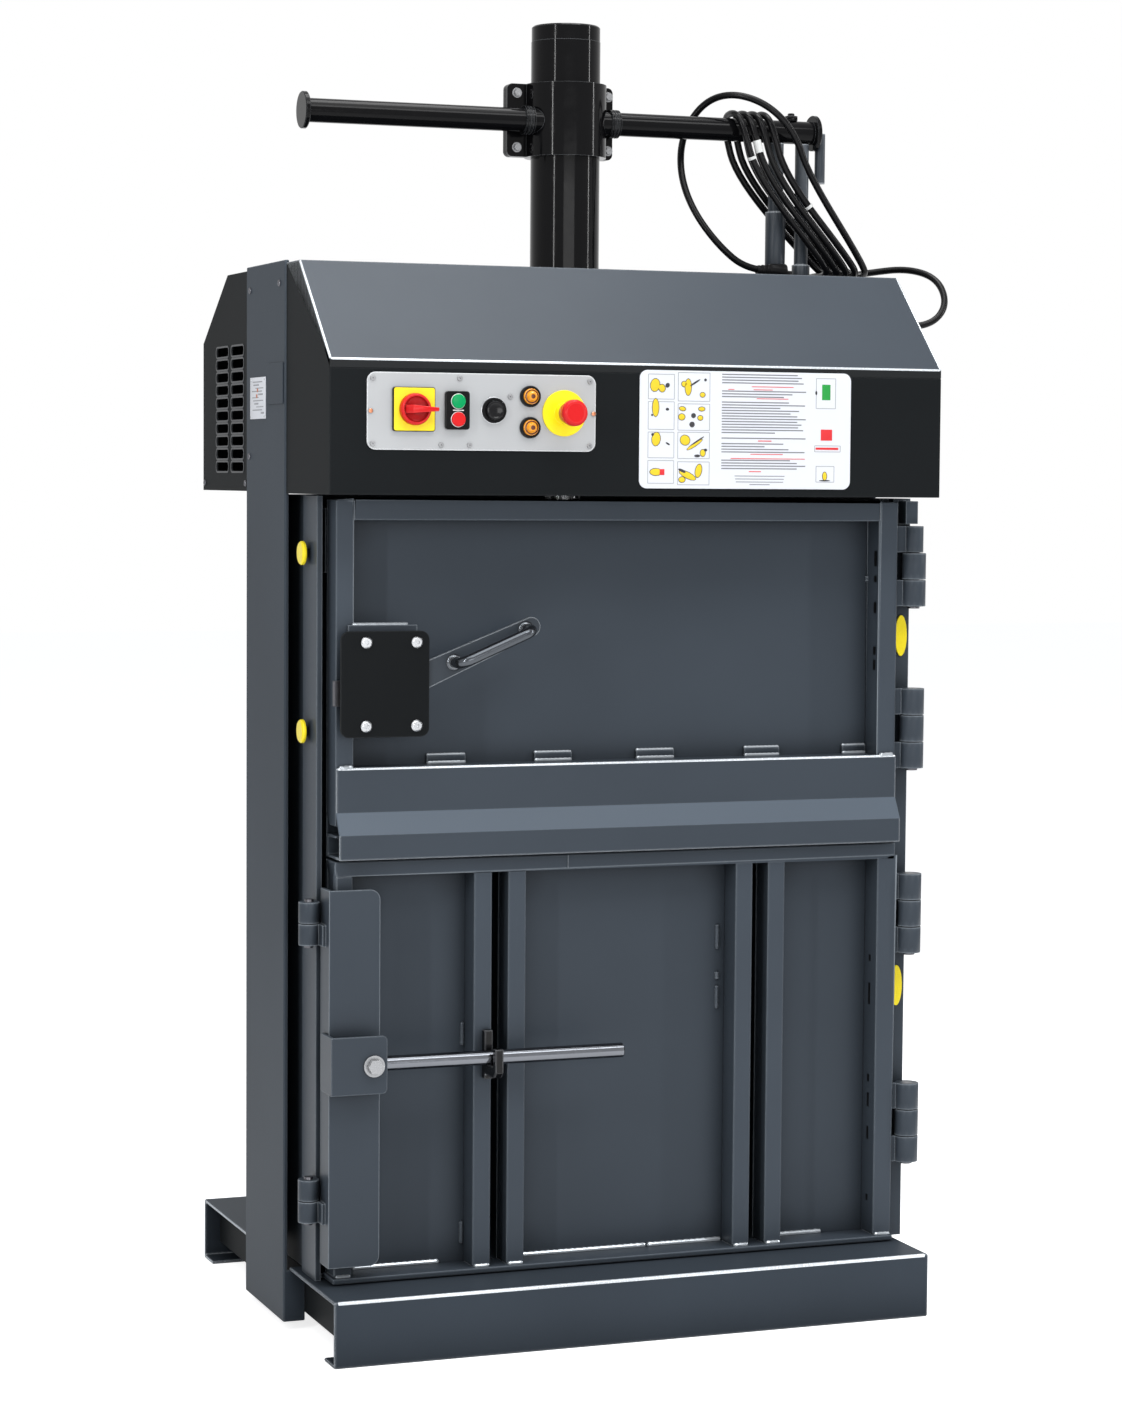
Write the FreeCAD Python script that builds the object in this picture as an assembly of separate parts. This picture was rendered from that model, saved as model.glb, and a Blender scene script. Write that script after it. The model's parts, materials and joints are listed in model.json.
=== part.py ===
"""Small upright recycling baler, in millimetres.

+X is to the operator's right, +Y is to the back and +Z is up. The origin is on
the floor, below the axis of the press cylinder.
"""
import FreeCAD
import Part

import math
import os

V = FreeCAD.Vector
X_AXIS = V(1, 0, 0)
Y_AXIS = V(0, 1, 0)
Z_AXIS = V(0, 0, 1)

# ---------------------------------------------------------------- body and base
BODY_HALF = 442.0  # the side columns' outer faces
COLUMN_SHEET = 6.0
COLUMN_FRONT = -110.0
COLUMN_BACK = 86.0
COLUMN_BOTTOM = 22.5
COLUMN_TOP = 1460.5
COLUMN_LIP = 20.0  # from the column's sheet in to the chamber wall

BEAM_INSET = 8.0
BEAM_HALF = BODY_HALF - BEAM_INSET
BEAM_HEIGHT = 89.0
BEAM_SHEET = 5.0
BEAM_LIP = 48.0
BASE_FRONT = -325.0
BASE_BACK = 349.0

SILL_WIDTH = 36.0
SILL_SHEET = 5.0
SILL_BOTTOM = 24.0
SILL_INSET = 23.0  # from the beams' open ends
SILL_FACE = BEAM_HALF - SILL_INSET
FOOT_SHEET = 10.0

# ------------------------------------------------------------------------ hood
HOOD_INSET = 2.0
HOOD_HALF = BODY_HALF - HOOD_INSET
HOOD_SHEET = 2.0
HOOD_SETBACK = 12.0
HOOD_FRONT = BASE_FRONT + HOOD_SETBACK
HOOD_BOTTOM = 1147.0
HOOD_DROP = 3.5  # the columns stand this much above the hood
HOOD_TOP = COLUMN_TOP - HOOD_DROP
SLOPE_RISE = 134.0
SLOPE_RUN = 142.0
HOOD_FOLD = HOOD_TOP - SLOPE_RISE
SLOPE_BACK = HOOD_FRONT + SLOPE_RUN
HOOD_RETURN = 24.0
LID_LAP = 12.0

BOX_INSET = 3.0
BOX_HALF = BODY_HALF - BOX_INSET
BOX_DEPTH = 249.0
BOX_BACK = COLUMN_BACK + BOX_DEPTH
BOX_BOTTOM = HOOD_BOTTOM + HOOD_SHEET
BOX_TOP = HOOD_TOP - 1.0
BOX_CHAMFER_RISE = 93.0
BOX_CHAMFER_RUN = 136.0
BOX_CHAMFER_Z = BOX_TOP - BOX_CHAMFER_RISE
BOX_TOP_BACK = BOX_BACK - BOX_CHAMFER_RUN
LOUVRE_LENGTH = 67.0
LOUVRE_HEIGHT = 12.6
LOUVRE_PITCH = 18.2
LOUVRE_ROWS = 10
LOUVRE_TOP = BOX_CHAMFER_Z - 16.0
LOUVRE_GAP = 15.0
LOUVRE_INSET = 24.0

# ----------------------------------------------------------------------- doors
DOOR_PROUD = 120.0  # the doors' frames stand this far before the columns
DOOR_FRONT = COLUMN_FRONT - DOOR_PROUD
DOOR_DEPTH = 40.0
DOOR_BACK = DOOR_FRONT + DOOR_DEPTH
DOOR_SKIN = 3.0
DOOR_SEAL_GAP = 2.0  # from the doors' skins to the chamber's front edges

# ---------------------------------------------------------------- press chamber
WALL = 5.0
WALL_OUTER = BODY_HALF - COLUMN_SHEET - COLUMN_LIP
WALL_FRONT = DOOR_BACK + DOOR_SKIN + DOOR_SEAL_GAP
CHAMBER_TOP = HOOD_BOTTOM - HOOD_SHEET
FLOOR_SHEET = 6.0
FLOOR_SLOT_END = 24.0
POST_STEP = 17.0
POST_DEPTH = 64.0
POST_FRONT = WALL_FRONT - POST_STEP
POST_BACK = POST_FRONT + POST_DEPTH
LEFT_POST_WIDTH = 8.0
LEFT_POST_FACE = WALL_OUTER + LEFT_POST_WIDTH
HINGE_POST_PROUD = 9.0
RIGHT_POST_OUTER = BODY_HALF + HINGE_POST_PROUD
DOOR_REBATE = 8.0  # the step in the right post that the doors' edges pass

# ------------------------------------------------------------ press and cylinder
BARREL_R = 49.0
BORE_R = 40.0
BARREL_BOTTOM = CHAMBER_TOP + 5.0
BARREL_RISE = 327.0
BARREL_TOP = HOOD_TOP + BARREL_RISE
CAP_HEIGHT = 22.0
CAP_R = 48.5
CAP_BEVEL = 2.0
STROKE = 530.0
ROD_R = 25.0
ROD_GUIDE = 37.0
PISTON_LENGTH = 40.0
PISTON_REST = 2.0  # from the piston to the cap's plug, at the top of the stroke
RUNNING = 0.05  # radial clearance of a running fit
HEAD_BEAM_HALF_DEPTH = 65.0
HEAD_BEAM_RISE = 18.0
HEAD_BEAM_HEIGHT = 80.0
HEAD_BEAM_BOTTOM = HOOD_BOTTOM + HEAD_BEAM_RISE
HEAD_BEAM_TOP = HEAD_BEAM_BOTTOM + HEAD_BEAM_HEIGHT
HEAD_BEAM_SHEET = 8.0
FLANGE_R = 73.5
FLANGE_THICK = 16.0
PLATEN_DROP = 17.0
PLATEN_TOP = CHAMBER_TOP - PLATEN_DROP
PLATEN_HEIGHT = 86.0
PLATEN_SHEET = 6.0
PLATEN_GAP = 5.0
PLATEN_RIBS = 4
STRAP_GROOVE = 22.0

CLAMP_R = 58.0
CLAMP_BELOW_CAP = 60.0
CLAMP_HEIGHT = 102.0
CLAMP_TOP = BARREL_TOP - CLAMP_BELOW_CAP
CLAMP_BOTTOM = CLAMP_TOP - CLAMP_HEIGHT
CLAMP_EAR = 29.0
CLAMP_SHORT_EAR = 14.5
CLAMP_EAR_THICK = 7.0
CLAMP_EAR_CORNER = 8.0
CLAMP_SPLIT = 2.0
CLAMP_SPLIT_Y = 10.0
CLAMP_BOLT_R = 5.0
CLAMP_BOLT_INSET = 13.0
CLAMP_WASHER = 1.5
REEL_BAR_R = 16.5
REEL_BAR_Y = -20.0
REEL_BAR_Z = CLAMP_BOTTOM + 49.0
LEFT_BAR_INSET = 48.0
RIGHT_BAR_INSET = 62.0
LEFT_BAR_END = LEFT_BAR_INSET - BODY_HALF
RIGHT_BAR_END = BODY_HALF - RIGHT_BAR_INSET
BAR_DISC_R = 25.5
BAR_DISC = 7.0
BAR_COLLAR_R = 20.0
BAR_COLLAR = 13.0
BAR_GROOVE = 1.0
STAND_X = RIGHT_BAR_END - 62.0
STAND_R = 11.0
SLEEVE_R = 14.5
FLANGED_STAND_X = RIGHT_BAR_END - 21.0
FLANGED_STAND_R = 10.0
STAND_FOOT_R = 13.0
STAND_FOOT_HEIGHT = 24.0
STAND_FLANGE = 6.0
STAND_FLANGE_CORNER = 6.0
STAND_BOLT_SPACING = 36.0
STAND_BOLT_R = 3.4
DROP_TUBE_R = 7.5
DROP_TUBE_LENGTH = 72.0

# ----------------------------------------------------------------- door frames
DOOR_LEFT = 10.0 - WALL_OUTER
UPPER_RIGHT = WALL_OUTER + 2.0
LOWER_RIGHT = WALL_OUTER + 5.0
STILE = 25.0
RIGHT_STILE = 28.0
UPPER_TOP = CHAMBER_TOP - 5.0
UPPER_BAR = 27.0
LEDGE_TOP = 784.0
LEDGE_APRON = 60.0
LEDGE_SLOPE = 28.0
LEDGE_SKIRT = 34.0
LEDGE_FOLD_1 = LEDGE_TOP - LEDGE_APRON
LEDGE_FOLD_2 = LEDGE_FOLD_1 - LEDGE_SLOPE
LEDGE_BOTTOM = LEDGE_FOLD_2 - LEDGE_SKIRT
LEDGE_SHEET = 4.0
LEDGE_OUT = 20.0
STILE_LIFT = 44.0  # the stiles end this much above the ledge's foot
STILE_BOTTOM = LEDGE_BOTTOM + STILE_LIFT
UPPER_BOTTOM_RAIL = 32.0
DOOR_GAP = 3.0  # between the upper and the lower door
LOWER_TOP = LEDGE_BOTTOM - DOOR_GAP
LOWER_BAR = 20.0
RAIL_BOTTOM = BEAM_HEIGHT + 1.5
RAIL_HEIGHT = 8.0
RAIL_REACH = 4.0
DOOR_POST = 26.0
POST_PITCH = 49.0  # from one post of a pair to the other
LEFT_PAIR_INSET = 196.0
RIGHT_PAIR_INSET = 246.0
LEFT_PAIR = DOOR_LEFT + LEFT_PAIR_INSET
RIGHT_PAIR = LOWER_RIGHT - RIGHT_PAIR_INSET
DOOR_POST_LEFTS = (LEFT_PAIR, LEFT_PAIR + POST_PITCH, RIGHT_PAIR, RIGHT_PAIR + POST_PITCH)

# -------------------------------------------------------------------- hinges
HINGE_X = BODY_HALF + 3.5
HINGE_Y = DOOR_FRONT + 4.0
HINGE_R = 17.0
HINGE_PIN_R = 8.0
KNUCKLE = 37.0
KNUCKLE_GAP = 1.0
HINGE_HEIGHTS = (UPPER_TOP - 90.0, LEDGE_TOP + 37.0, LOWER_TOP - 101.0, RAIL_BOTTOM + 167.5)
UPPER_HINGES = 2  # the first two carry the upper door
LEAF = 8.0
PIN_HEAD = 3.0
SLIM_KNUCKLE_R = 13.0  # the topmost knuckle is slimmer than the others
HINGE_STOP = 19.0  # the block above the topmost knuckle
HINGE_STOP_HEIGHT = 32.0
STOP_GAP = 3.0
PIN_HEAD_R = 8.8

# --------------------------------------------------------------- lower latch
LATCH_SHEET = 5.0
LATCH_LEFT = DOOR_LEFT - 14.0
LATCH_WIDTH = 71.0
LATCH_RIGHT = LATCH_LEFT + LATCH_WIDTH
LATCH_FRONT = DOOR_FRONT - 20.0
LATCH_BACK = DOOR_FRONT + 20.0
LATCH_BOTTOM = RAIL_BOTTOM + 25.5
LATCH_TOP = LOWER_TOP - 36.0
LATCH_CORNER = 14.0
BRACKET_RIGHT = LATCH_RIGHT + 2.0
BRACKET_DEPTH = 28.0
BRACKET_FRONT = LATCH_FRONT - BRACKET_DEPTH
BRACKET_BACK = LATCH_FRONT + 22.0
BRACKET_BOTTOM = 353.0
BRACKET_HEIGHT = 78.0
BRACKET_TOP = BRACKET_BOTTOM + BRACKET_HEIGHT
BRACKET_CORNER = 7.0
LIFT_ROD_R = 10.0
LIFT_ROD_LENGTH = 361.0
LIFT_ROD_PIVOT_X = LATCH_LEFT + 54.0
LIFT_ROD_END = LIFT_ROD_PIVOT_X + LIFT_ROD_LENGTH
LIFT_ROD_Y = (BRACKET_FRONT + LATCH_SHEET + LATCH_FRONT) / 2
LIFT_ROD_Z = BRACKET_BOTTOM + 38.0
LIFT_ROD_BEVEL = 1.5
LIFT_EYE_R = 17.0
EYE_RELIEF = 1.0
LATCH_BOLT_R = 7.0
LATCH_WASHER_R = 14.5
LATCH_WASHER = 3.0
LATCH_HEAD_R = 10.5
LATCH_HEAD = 8.0
HOOK_X = LEFT_PAIR + 18.0
HOOK_THICK = 12.0
HOOK_HEIGHT = 67.0
HOOK_BASE = 12.0
HOOK_TONGUE = 12.0
HOOK_TONGUE_TOP = 14.0
HOOK_TONGUE_GAP = 2.5
HOOK_FLOOR = 16.0
HOOK_BEVEL = 8.0
HOOK_REST = 0.3

SMALL_HINGE_X = 6.0 - BODY_HALF
SMALL_HINGE_Y = LATCH_BACK
SMALL_HINGE_R = 14.0
SMALL_PIN_R = 6.0
SMALL_KNUCKLE = 28.5
SMALL_HINGE_HEIGHTS = (LATCH_TOP - 47.0, LATCH_BOTTOM + 86.0)
SMALL_LEAF = 5.0

# ---------------------------------------------------------------- upper lock
LOCK_LEFT = DOOR_LEFT - 1.0
LOCK_WIDTH = 123.0
LOCK_HEIGHT = 141.0
LOCK_RIGHT = LOCK_LEFT + LOCK_WIDTH
LOCK_BOTTOM = LEDGE_TOP + 42.0
LOCK_TOP = LOCK_BOTTOM + LOCK_HEIGHT
LOCK_CORNER = 12.0
LOCK_STAND_OFF = 27.0
LOCK_FRONT = DOOR_FRONT - LOCK_STAND_OFF
LOCK_SHEET = 4.0
LOCK_BASE_SHEET = 4.0
LOCK_BASE_FACE = DOOR_FRONT - LOCK_BASE_SHEET
LOCK_BASE_LEFT = LOCK_LEFT + 17.0
LOCK_BASE_RIGHT = LOCK_RIGHT - 10.0
LOCK_BASE_BOTTOM = LOCK_BOTTOM + 6.0
LOCK_BASE_TOP = LOCK_TOP + 7.0
LOCK_SCREW_LEFT = LOCK_LEFT + 35.0
LOCK_SCREW_RIGHT = LOCK_RIGHT - 18.0
LOCK_SCREW_INSET = 15.0
LOCK_SCREW_R = 8.0
LOCK_SCREW_DEPTH = 4.8
SPACER_R = 5.0
LEVER_PIVOT_X = LOCK_LEFT + 64.0
LEVER_PIVOT_Z = LOCK_BOTTOM + 58.0
LEVER_RISE = 23.0  # degrees above level, at rest
LEVER_LENGTH = 235.0
LEVER_ROOT_WIDTH = 38.0
LEVER_TIP_WIDTH = 26.0
LEVER_THICK = 6.0
LEVER_FRONT = LOCK_FRONT + LOCK_SHEET + 0.5
LEVER_BACK = LEVER_FRONT + LEVER_THICK
LEVER_SWING = 45.0
HUB_R = 21.0
SHAFT_R = 9.0
SHAFT_SINK = 6.0
CRANK = 20.0
CRANK_PIN_R = 4.0
SLOT_CLEARANCE = 0.4
BOLT_CLEARANCE = 1.0
BOLT_GUIDE = 6.0
BOLT_HEIGHT = 34.0
BOLT_THICK = 6.0
BOLT_NOSE = 6.0
GRIP_R = 7.5
GRIP_FROM = 103.0
GRIP_TO = 221.0
GRIP_STAND = 34.0

# ------------------------------------------------------------- control panel
PANEL_INSET = 49.5
PANEL_RISE = 58.5
PANEL_WIDTH = 318.0
PANEL_HEIGHT = 101.0
PANEL_LEFT = PANEL_INSET - HOOD_HALF
PANEL_RIGHT = PANEL_LEFT + PANEL_WIDTH
PANEL_BOTTOM = HOOD_BOTTOM + PANEL_RISE
PANEL_TOP = PANEL_BOTTOM + PANEL_HEIGHT
PANEL_SHEET = 2.0
PANEL_FACE = HOOD_FRONT - PANEL_SHEET
PANEL_CORNER = 12.0
SWITCH_X = PANEL_LEFT + 63.0
SWITCH_Z = PANEL_BOTTOM + 53.0
SWITCH_PLATE = 56.0
SWITCH_PLATE_THICK = 6.0
SWITCH_PLATE_CORNER = 3.0
SWITCH_KNOB_R = 21.0
SWITCH_DISC = 6.0
SWITCH_KNOB_DEPTH = 17.0
SWITCH_GRIP = 11.0
SWITCH_GRIP_SHORT = 2.0
SWITCH_GRIP_LONG = 8.0
SWITCH_GRIP_CORNER = 4.0
BLOCK_X = PANEL_LEFT + 122.0
BLOCK_WIDTH = 32.0
BLOCK_HEIGHT = 50.0
BLOCK_THICK = 9.0
BLOCK_CORNER = 4.0
BUTTON_Z_GREEN = PANEL_BOTTOM + 64.0
BUTTON_Z_RED = PANEL_BOTTOM + 40.5
BUTTON_R = 9.5
BUTTON_OUT = 4.0
BUTTON_TRAVEL = 3.0
BUTTON_EDGE = 1.2
START_X = PANEL_LEFT + 174.0
START_BEZEL_R = 16.5
START_BEZEL = 5.0
START_R = 12.5
START_OUT = 10.0
LAMP_X = PANEL_LEFT + 224.5
LAMP_ZS = (PANEL_BOTTOM + 72.0, PANEL_BOTTOM + 31.0)
LAMP_BEZEL_R = 14.0
LAMP_BEZEL = 5.5
LAMP_LENS_R = 10.0
LAMP_TIP_R = 4.0
LAMP_OUT = 14.0
STOP_X = PANEL_LEFT + 272.5
STOP_Z = PANEL_BOTTOM + 50.5
STOP_DISC_R = 30.5
STOP_DISC = 3.0
STOP_COLLAR_R = 14.0
STOP_COLLAR = 22.0
STOP_R = 17.5
STOP_STEM_R = 9.0
STOP_OUT = 47.0
STOP_CAP = 16.0
STOP_EDGE = 5.0
STOP_TRAVEL = 4.0
SLIDE = 0.3  # clearance round a button in its bezel
PANEL_SCREW_R = 3.6
PANEL_SCREW_OUT = 2.0
PANEL_SCREWS = (  # from the plate's lower left corner
    (7.8, 92.8),
    (7.8, 7.8),
    (309.3, 92.8),
    (309.3, 7.8),
    (4.7, 50.3),
    (314.5, 50.3),
    (126.9, 94.1),
    (101.5, 7.1),
    (140.7, 7.1),
    (196.9, 71.3),
)
NOTICE_GAP = 63.0
NOTICE_RIGHT = HOOD_HALF - 138.0
NOTICE_LEFT = PANEL_RIGHT + NOTICE_GAP
NOTICE_BOTTOM = HOOD_BOTTOM + 10.5
NOTICE_TOP = HOOD_FOLD - 7.5
NOTICE_THICK = 1.5
NOTICE_CORNER = 11.0
SIDE_PLATE_Y = (COLUMN_FRONT + 6.0, COLUMN_FRONT + 80.0)
SIDE_PLATE_Z = (COLUMN_TOP - 192.5, COLUMN_TOP - 136.5)

# ------------------------------------------------------------------ small parts
CAP_DISC_R = 16.0
CAP_DISC = 6.0
CAP_DISC_EDGE = 2.0
CAP_STEM_R = 7.0
CAP_STEM = 6.0
CAP_Y = POST_FRONT + 41.0
CAP_HEIGHTS = (1068.0, 829.0)
OVAL_HALF_WIDTH = 9.3
OVAL_HALF_HEIGHT = 29.0
OVAL_THICK = 3.0
OVAL_HEIGHTS = (951.0, 451.0)

# ---------------------------------------------------------------- power pack
TANK_HALF = 210.0
TANK_FRONT = COLUMN_BACK + 24.0
TANK_BACK = BOX_BACK - 35.0
TANK_HEIGHT = 150.0
TANK_CORNER = 8.0
MOTOR_R = 68.0
MOTOR_CORE_R = 60.0
MOTOR_LENGTH = 190.0
MOTOR_RIBS = 5
MOTOR_RIB = 4.0
PUMP_R = 42.0
PUMP_FLANGE_R = 50.4
PUMP_FLANGE = 8.0
PUMP_CORNER = 10.5
PUMP_LENGTH = 70.0
PIPE_R = 7.0
PIPE_BEND = 21.0

# ----------------------------------------------------------------------- cable
CABLE_R = 5.0
HANK_LOOPS = 5
HANK_PITCH = 15.2
HANK_TOP_X = RIGHT_BAR_END - 88.0
HANK_KNEE_LEAN = 24.0
HANK_KNEE_Z = REEL_BAR_Z - 65.0
HANK_KNEE_BEND = 80.0
HANK_FOOT_X = RIGHT_BAR_END + 14.0
HANK_HALF_WIDTH = 34.0
HANK_REST = 1.5
HANK_START_SHARE = 0.2
GLAND_X = RIGHT_BAR_END - 58.0
GLAND_Y = -48.0
GLAND_RISE = 13.0
GLAND_R = 10.0
GLAND_NUT_R = 12.5
GLAND_REACH = 24.0
END_GLAND_Y = -68.0
END_GLAND_Z = HOOD_TOP - 65.0


# ================================================================ shape helpers
def box(x, y, z):
    """A block between two values on each axis."""
    return Part.makeBox(x[1] - x[0], y[1] - y[0], z[1] - z[0], V(x[0], y[0], z[0]))


def rod(start, end, radius):
    """A round bar between two points."""
    along = end - start
    return Part.makeCylinder(radius, along.Length, start, along)


def ring(start, end, outer, inner):
    """A round tube between two points."""
    return rod(start, end, outer).cut(rod(start, end, inner))


def prism(points, along):
    """A flat outline of points, pulled along a vector."""
    wire = Part.makePolygon(points + [points[0]])
    return Part.Face(wire).extrude(along)


def prism_x(outline, x):
    """An outline of (y, z) pairs between two X values."""
    return prism([V(x[0], y, z) for y, z in outline], V(x[1] - x[0], 0, 0))


def prism_y(outline, y):
    """An outline of (x, z) pairs between two Y values."""
    return prism([V(px, y[0], pz) for px, pz in outline], V(0, y[1] - y[0], 0))


def prism_z(outline, z):
    """An outline of (x, y) pairs between two Z values."""
    return prism([V(px, py, z[0]) for px, py in outline], V(0, 0, z[1] - z[0]))


def join(shapes):
    """One solid out of solids that meet."""
    first = shapes[0]
    for other in shapes[1:]:
        first = first.fuse(other)
    return first.removeSplitter()


def group(shapes):
    """Separate solids that share one node."""
    solids = []
    for shape in shapes:
        solids += shape.Solids
    return Part.makeCompound(solids)


def mirror_x(shape):
    """The same piece on the other side of the machine."""
    return shape.mirror(V(0, 0, 0), X_AXIS)


def round_edges(shape, axis, radius, keep=None):
    """Rounds the straight edges that run along an axis."""
    edges = []
    for edge in shape.Edges:
        if not isinstance(edge.Curve, Part.Line):
            continue
        if abs(edge.tangentAt(edge.FirstParameter).dot(axis)) < 0.999:
            continue
        if keep is None or keep(edge.CenterOfMass):
            edges.append(edge)
    return shape.makeFillet(radius, edges)


def plate(x, z, y, corner):
    """A flat plate that faces the front, with rounded corners."""
    return round_edges(box(x, y, z), Y_AXIS, corner)


def folded(line, thickness, x):
    """A folded sheet: an open line of (y, z) points, thickened to the left of its run."""
    normals = []
    for (y0, z0), (y1, z1) in zip(line, line[1:]):
        length = math.hypot(y1 - y0, z1 - z0)
        normals.append(((z0 - z1) / length, (y1 - y0) / length))
    inner = []
    for n, (y, z) in enumerate(line):
        before = normals[max(n - 1, 0)]
        after = normals[min(n, len(normals) - 1)]
        scale = thickness / (1 + before[0] * after[0] + before[1] * after[1])
        inner.append((y + (before[0] + after[0]) * scale, z + (before[1] + after[1]) * scale))
    return prism_x(line + inner[::-1], x)


# ================================================================= base and body
def base_beams():
    """The two long folded beams that the machine stands on."""
    x = (-BEAM_HALF, BEAM_HALF)
    front_line = [
        (COLUMN_FRONT, BEAM_HEIGHT),
        (BASE_FRONT, BEAM_HEIGHT),
        (BASE_FRONT, 0),
        (BASE_FRONT + BEAM_LIP, 0),
    ]
    back_line = [
        (BASE_BACK - BEAM_LIP, 0),
        (BASE_BACK, 0),
        (BASE_BACK, BEAM_HEIGHT),
        (COLUMN_BACK, BEAM_HEIGHT),
    ]
    return group([folded(front_line, BEAM_SHEET, x), folded(back_line, BEAM_SHEET, x)])


def side_sills():
    """The channels that tie the two beams together under the floor."""
    top = BEAM_HEIGHT - BEAM_SHEET
    inner = SILL_FACE - SILL_WIDTH
    length = (BASE_FRONT + BEAM_SHEET, BASE_BACK - BEAM_SHEET)
    web = box((SILL_FACE - SILL_SHEET, SILL_FACE), length, (SILL_BOTTOM, top))
    upper = box((inner, SILL_FACE), length, (top - SILL_SHEET, top))
    lower = box((inner, SILL_FACE), length, (SILL_BOTTOM, SILL_BOTTOM + SILL_SHEET))
    sill = join([web, upper, lower])
    return group([sill, mirror_x(sill)])


def side_columns():
    """The tall folded sheets at the sides, from the base to the head."""
    outer = BODY_HALF
    inner = BODY_HALF - COLUMN_SHEET
    wall_face = inner - COLUMN_LIP
    z = (COLUMN_BOTTOM, COLUMN_TOP)
    web = box((inner, outer), (COLUMN_FRONT, COLUMN_BACK), z)
    lip_z = (BEAM_HEIGHT, HOOD_TOP - HOOD_SHEET)
    back = box((wall_face, inner), (COLUMN_BACK - COLUMN_SHEET, COLUMN_BACK), lip_z)
    under_beam = (COLUMN_BOTTOM, BEAM_HEIGHT - BEAM_SHEET)
    cheek = box((SILL_FACE, inner), (COLUMN_FRONT, COLUMN_FRONT + COLUMN_SHEET), under_beam)
    foot_z = (COLUMN_BOTTOM - FOOT_SHEET, COLUMN_BOTTOM)
    foot = box((SILL_FACE, outer), (COLUMN_FRONT, COLUMN_BACK), foot_z)
    column = join([web, back, cheek, foot])
    column = round_edges(column, Z_AXIS, COLUMN_SHEET / 2, lambda c: c.x > outer - 0.1)
    return group([column, mirror_x(column)])


def side_walls():
    """The press chamber's two side plates."""
    outer = WALL_OUTER
    wall = box((outer - WALL, outer), (WALL_FRONT, COLUMN_BACK - WALL), (BEAM_HEIGHT, CHAMBER_TOP))
    return group([wall, mirror_x(wall)])


def back_wall():
    """The chamber's back plate, with two upright grooves for the bale straps."""
    outer = WALL_OUTER
    sheet = box((-outer, outer), (COLUMN_BACK - WALL, COLUMN_BACK), (BEAM_HEIGHT, CHAMBER_TOP))
    for centre in strap_centres():
        groove = box(
            (centre - STRAP_GROOVE / 2, centre + STRAP_GROOVE / 2),
            (COLUMN_BACK - WALL, COLUMN_BACK - WALL / 2),
            (BEAM_HEIGHT + FLOOR_SHEET, LOWER_TOP),
        )
        sheet = sheet.cut(groove)
    return sheet


def strap_centres():
    """The X values of the two strap gaps in the lower door."""
    first = (DOOR_POST_LEFTS[0] + DOOR_POST + DOOR_POST_LEFTS[1]) / 2
    second = (DOOR_POST_LEFTS[2] + DOOR_POST + DOOR_POST_LEFTS[3]) / 2
    return (first, second)


def chamber_floor():
    """The floor plate, slotted from front to back for the bale straps."""
    half = WALL_OUTER - WALL
    sheet = box((-half, half), (WALL_FRONT, COLUMN_BACK - WALL), (BEAM_HEIGHT, BEAM_HEIGHT + FLOOR_SHEET))
    for centre in strap_centres():
        slot = box(
            (centre - STRAP_GROOVE / 2, centre + STRAP_GROOVE / 2),
            (WALL_FRONT, COLUMN_BACK - WALL - FLOOR_SLOT_END),
            (BEAM_HEIGHT + FLOOR_SHEET / 2, BEAM_HEIGHT + FLOOR_SHEET),
        )
        sheet = sheet.cut(slot)
    return sheet


def front_posts():
    """The flat post at the left and the wide hinge post at the right."""
    outer = WALL_OUTER
    z = (BEAM_HEIGHT, CHAMBER_TOP)
    left = box((-LEFT_POST_FACE, -outer), (POST_FRONT, POST_BACK), z)
    right_outline = [
        (outer, POST_BACK),
        (outer, WALL_FRONT),
        (outer + DOOR_REBATE, WALL_FRONT),
        (outer + DOOR_REBATE, POST_FRONT),
        (RIGHT_POST_OUTER, POST_FRONT),
        (RIGHT_POST_OUTER, POST_BACK),
    ]
    stop_z = knuckle_spans(HINGE_HEIGHTS[0])[2][1] + STOP_GAP
    stop = box(
        (RIGHT_POST_OUTER - HINGE_STOP, RIGHT_POST_OUTER),
        (HINGE_Y, POST_FRONT),
        (stop_z, stop_z + HINGE_STOP_HEIGHT),
    )
    return group([left, join([prism_z(right_outline, z), stop])])


def head_crossbeam():
    """The box beam that carries the cylinder between the columns."""
    half = BODY_HALF - COLUMN_SHEET
    y = (-HEAD_BEAM_HALF_DEPTH, HEAD_BEAM_HALF_DEPTH)
    solid = box((-half, half), y, (HEAD_BEAM_BOTTOM, HEAD_BEAM_TOP))
    inner = HEAD_BEAM_SHEET
    hollow = box(
        (-half, half),
        (y[0] + inner, y[1] - inner),
        (HEAD_BEAM_BOTTOM + inner, HEAD_BEAM_TOP - inner),
    )
    hole = rod(V(0, 0, HEAD_BEAM_BOTTOM), V(0, 0, HEAD_BEAM_TOP), BARREL_R)
    return solid.cut(hollow).cut(hole)


# ========================================================================= hood
def hood_lid():
    """The grey sheet of the hood: the slope, the fold and the flat top."""
    line = [
        (COLUMN_BACK, HOOD_TOP),
        (SLOPE_BACK, HOOD_TOP),
        (HOOD_FRONT, HOOD_FOLD),
        (HOOD_FRONT, HOOD_FOLD - LID_LAP),
    ]
    lid = folded(line, HOOD_SHEET, (-HOOD_HALF, HOOD_HALF))
    beside = box((BODY_HALF - COLUMN_SHEET, BODY_HALF), (COLUMN_FRONT, COLUMN_BACK), (HOOD_FOLD, COLUMN_TOP))
    lid = lid.cut(beside).cut(mirror_x(beside))
    hole = rod(V(0, 0, HOOD_FOLD), V(0, 0, BARREL_TOP), BARREL_R)
    return lid.cut(hole)


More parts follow.
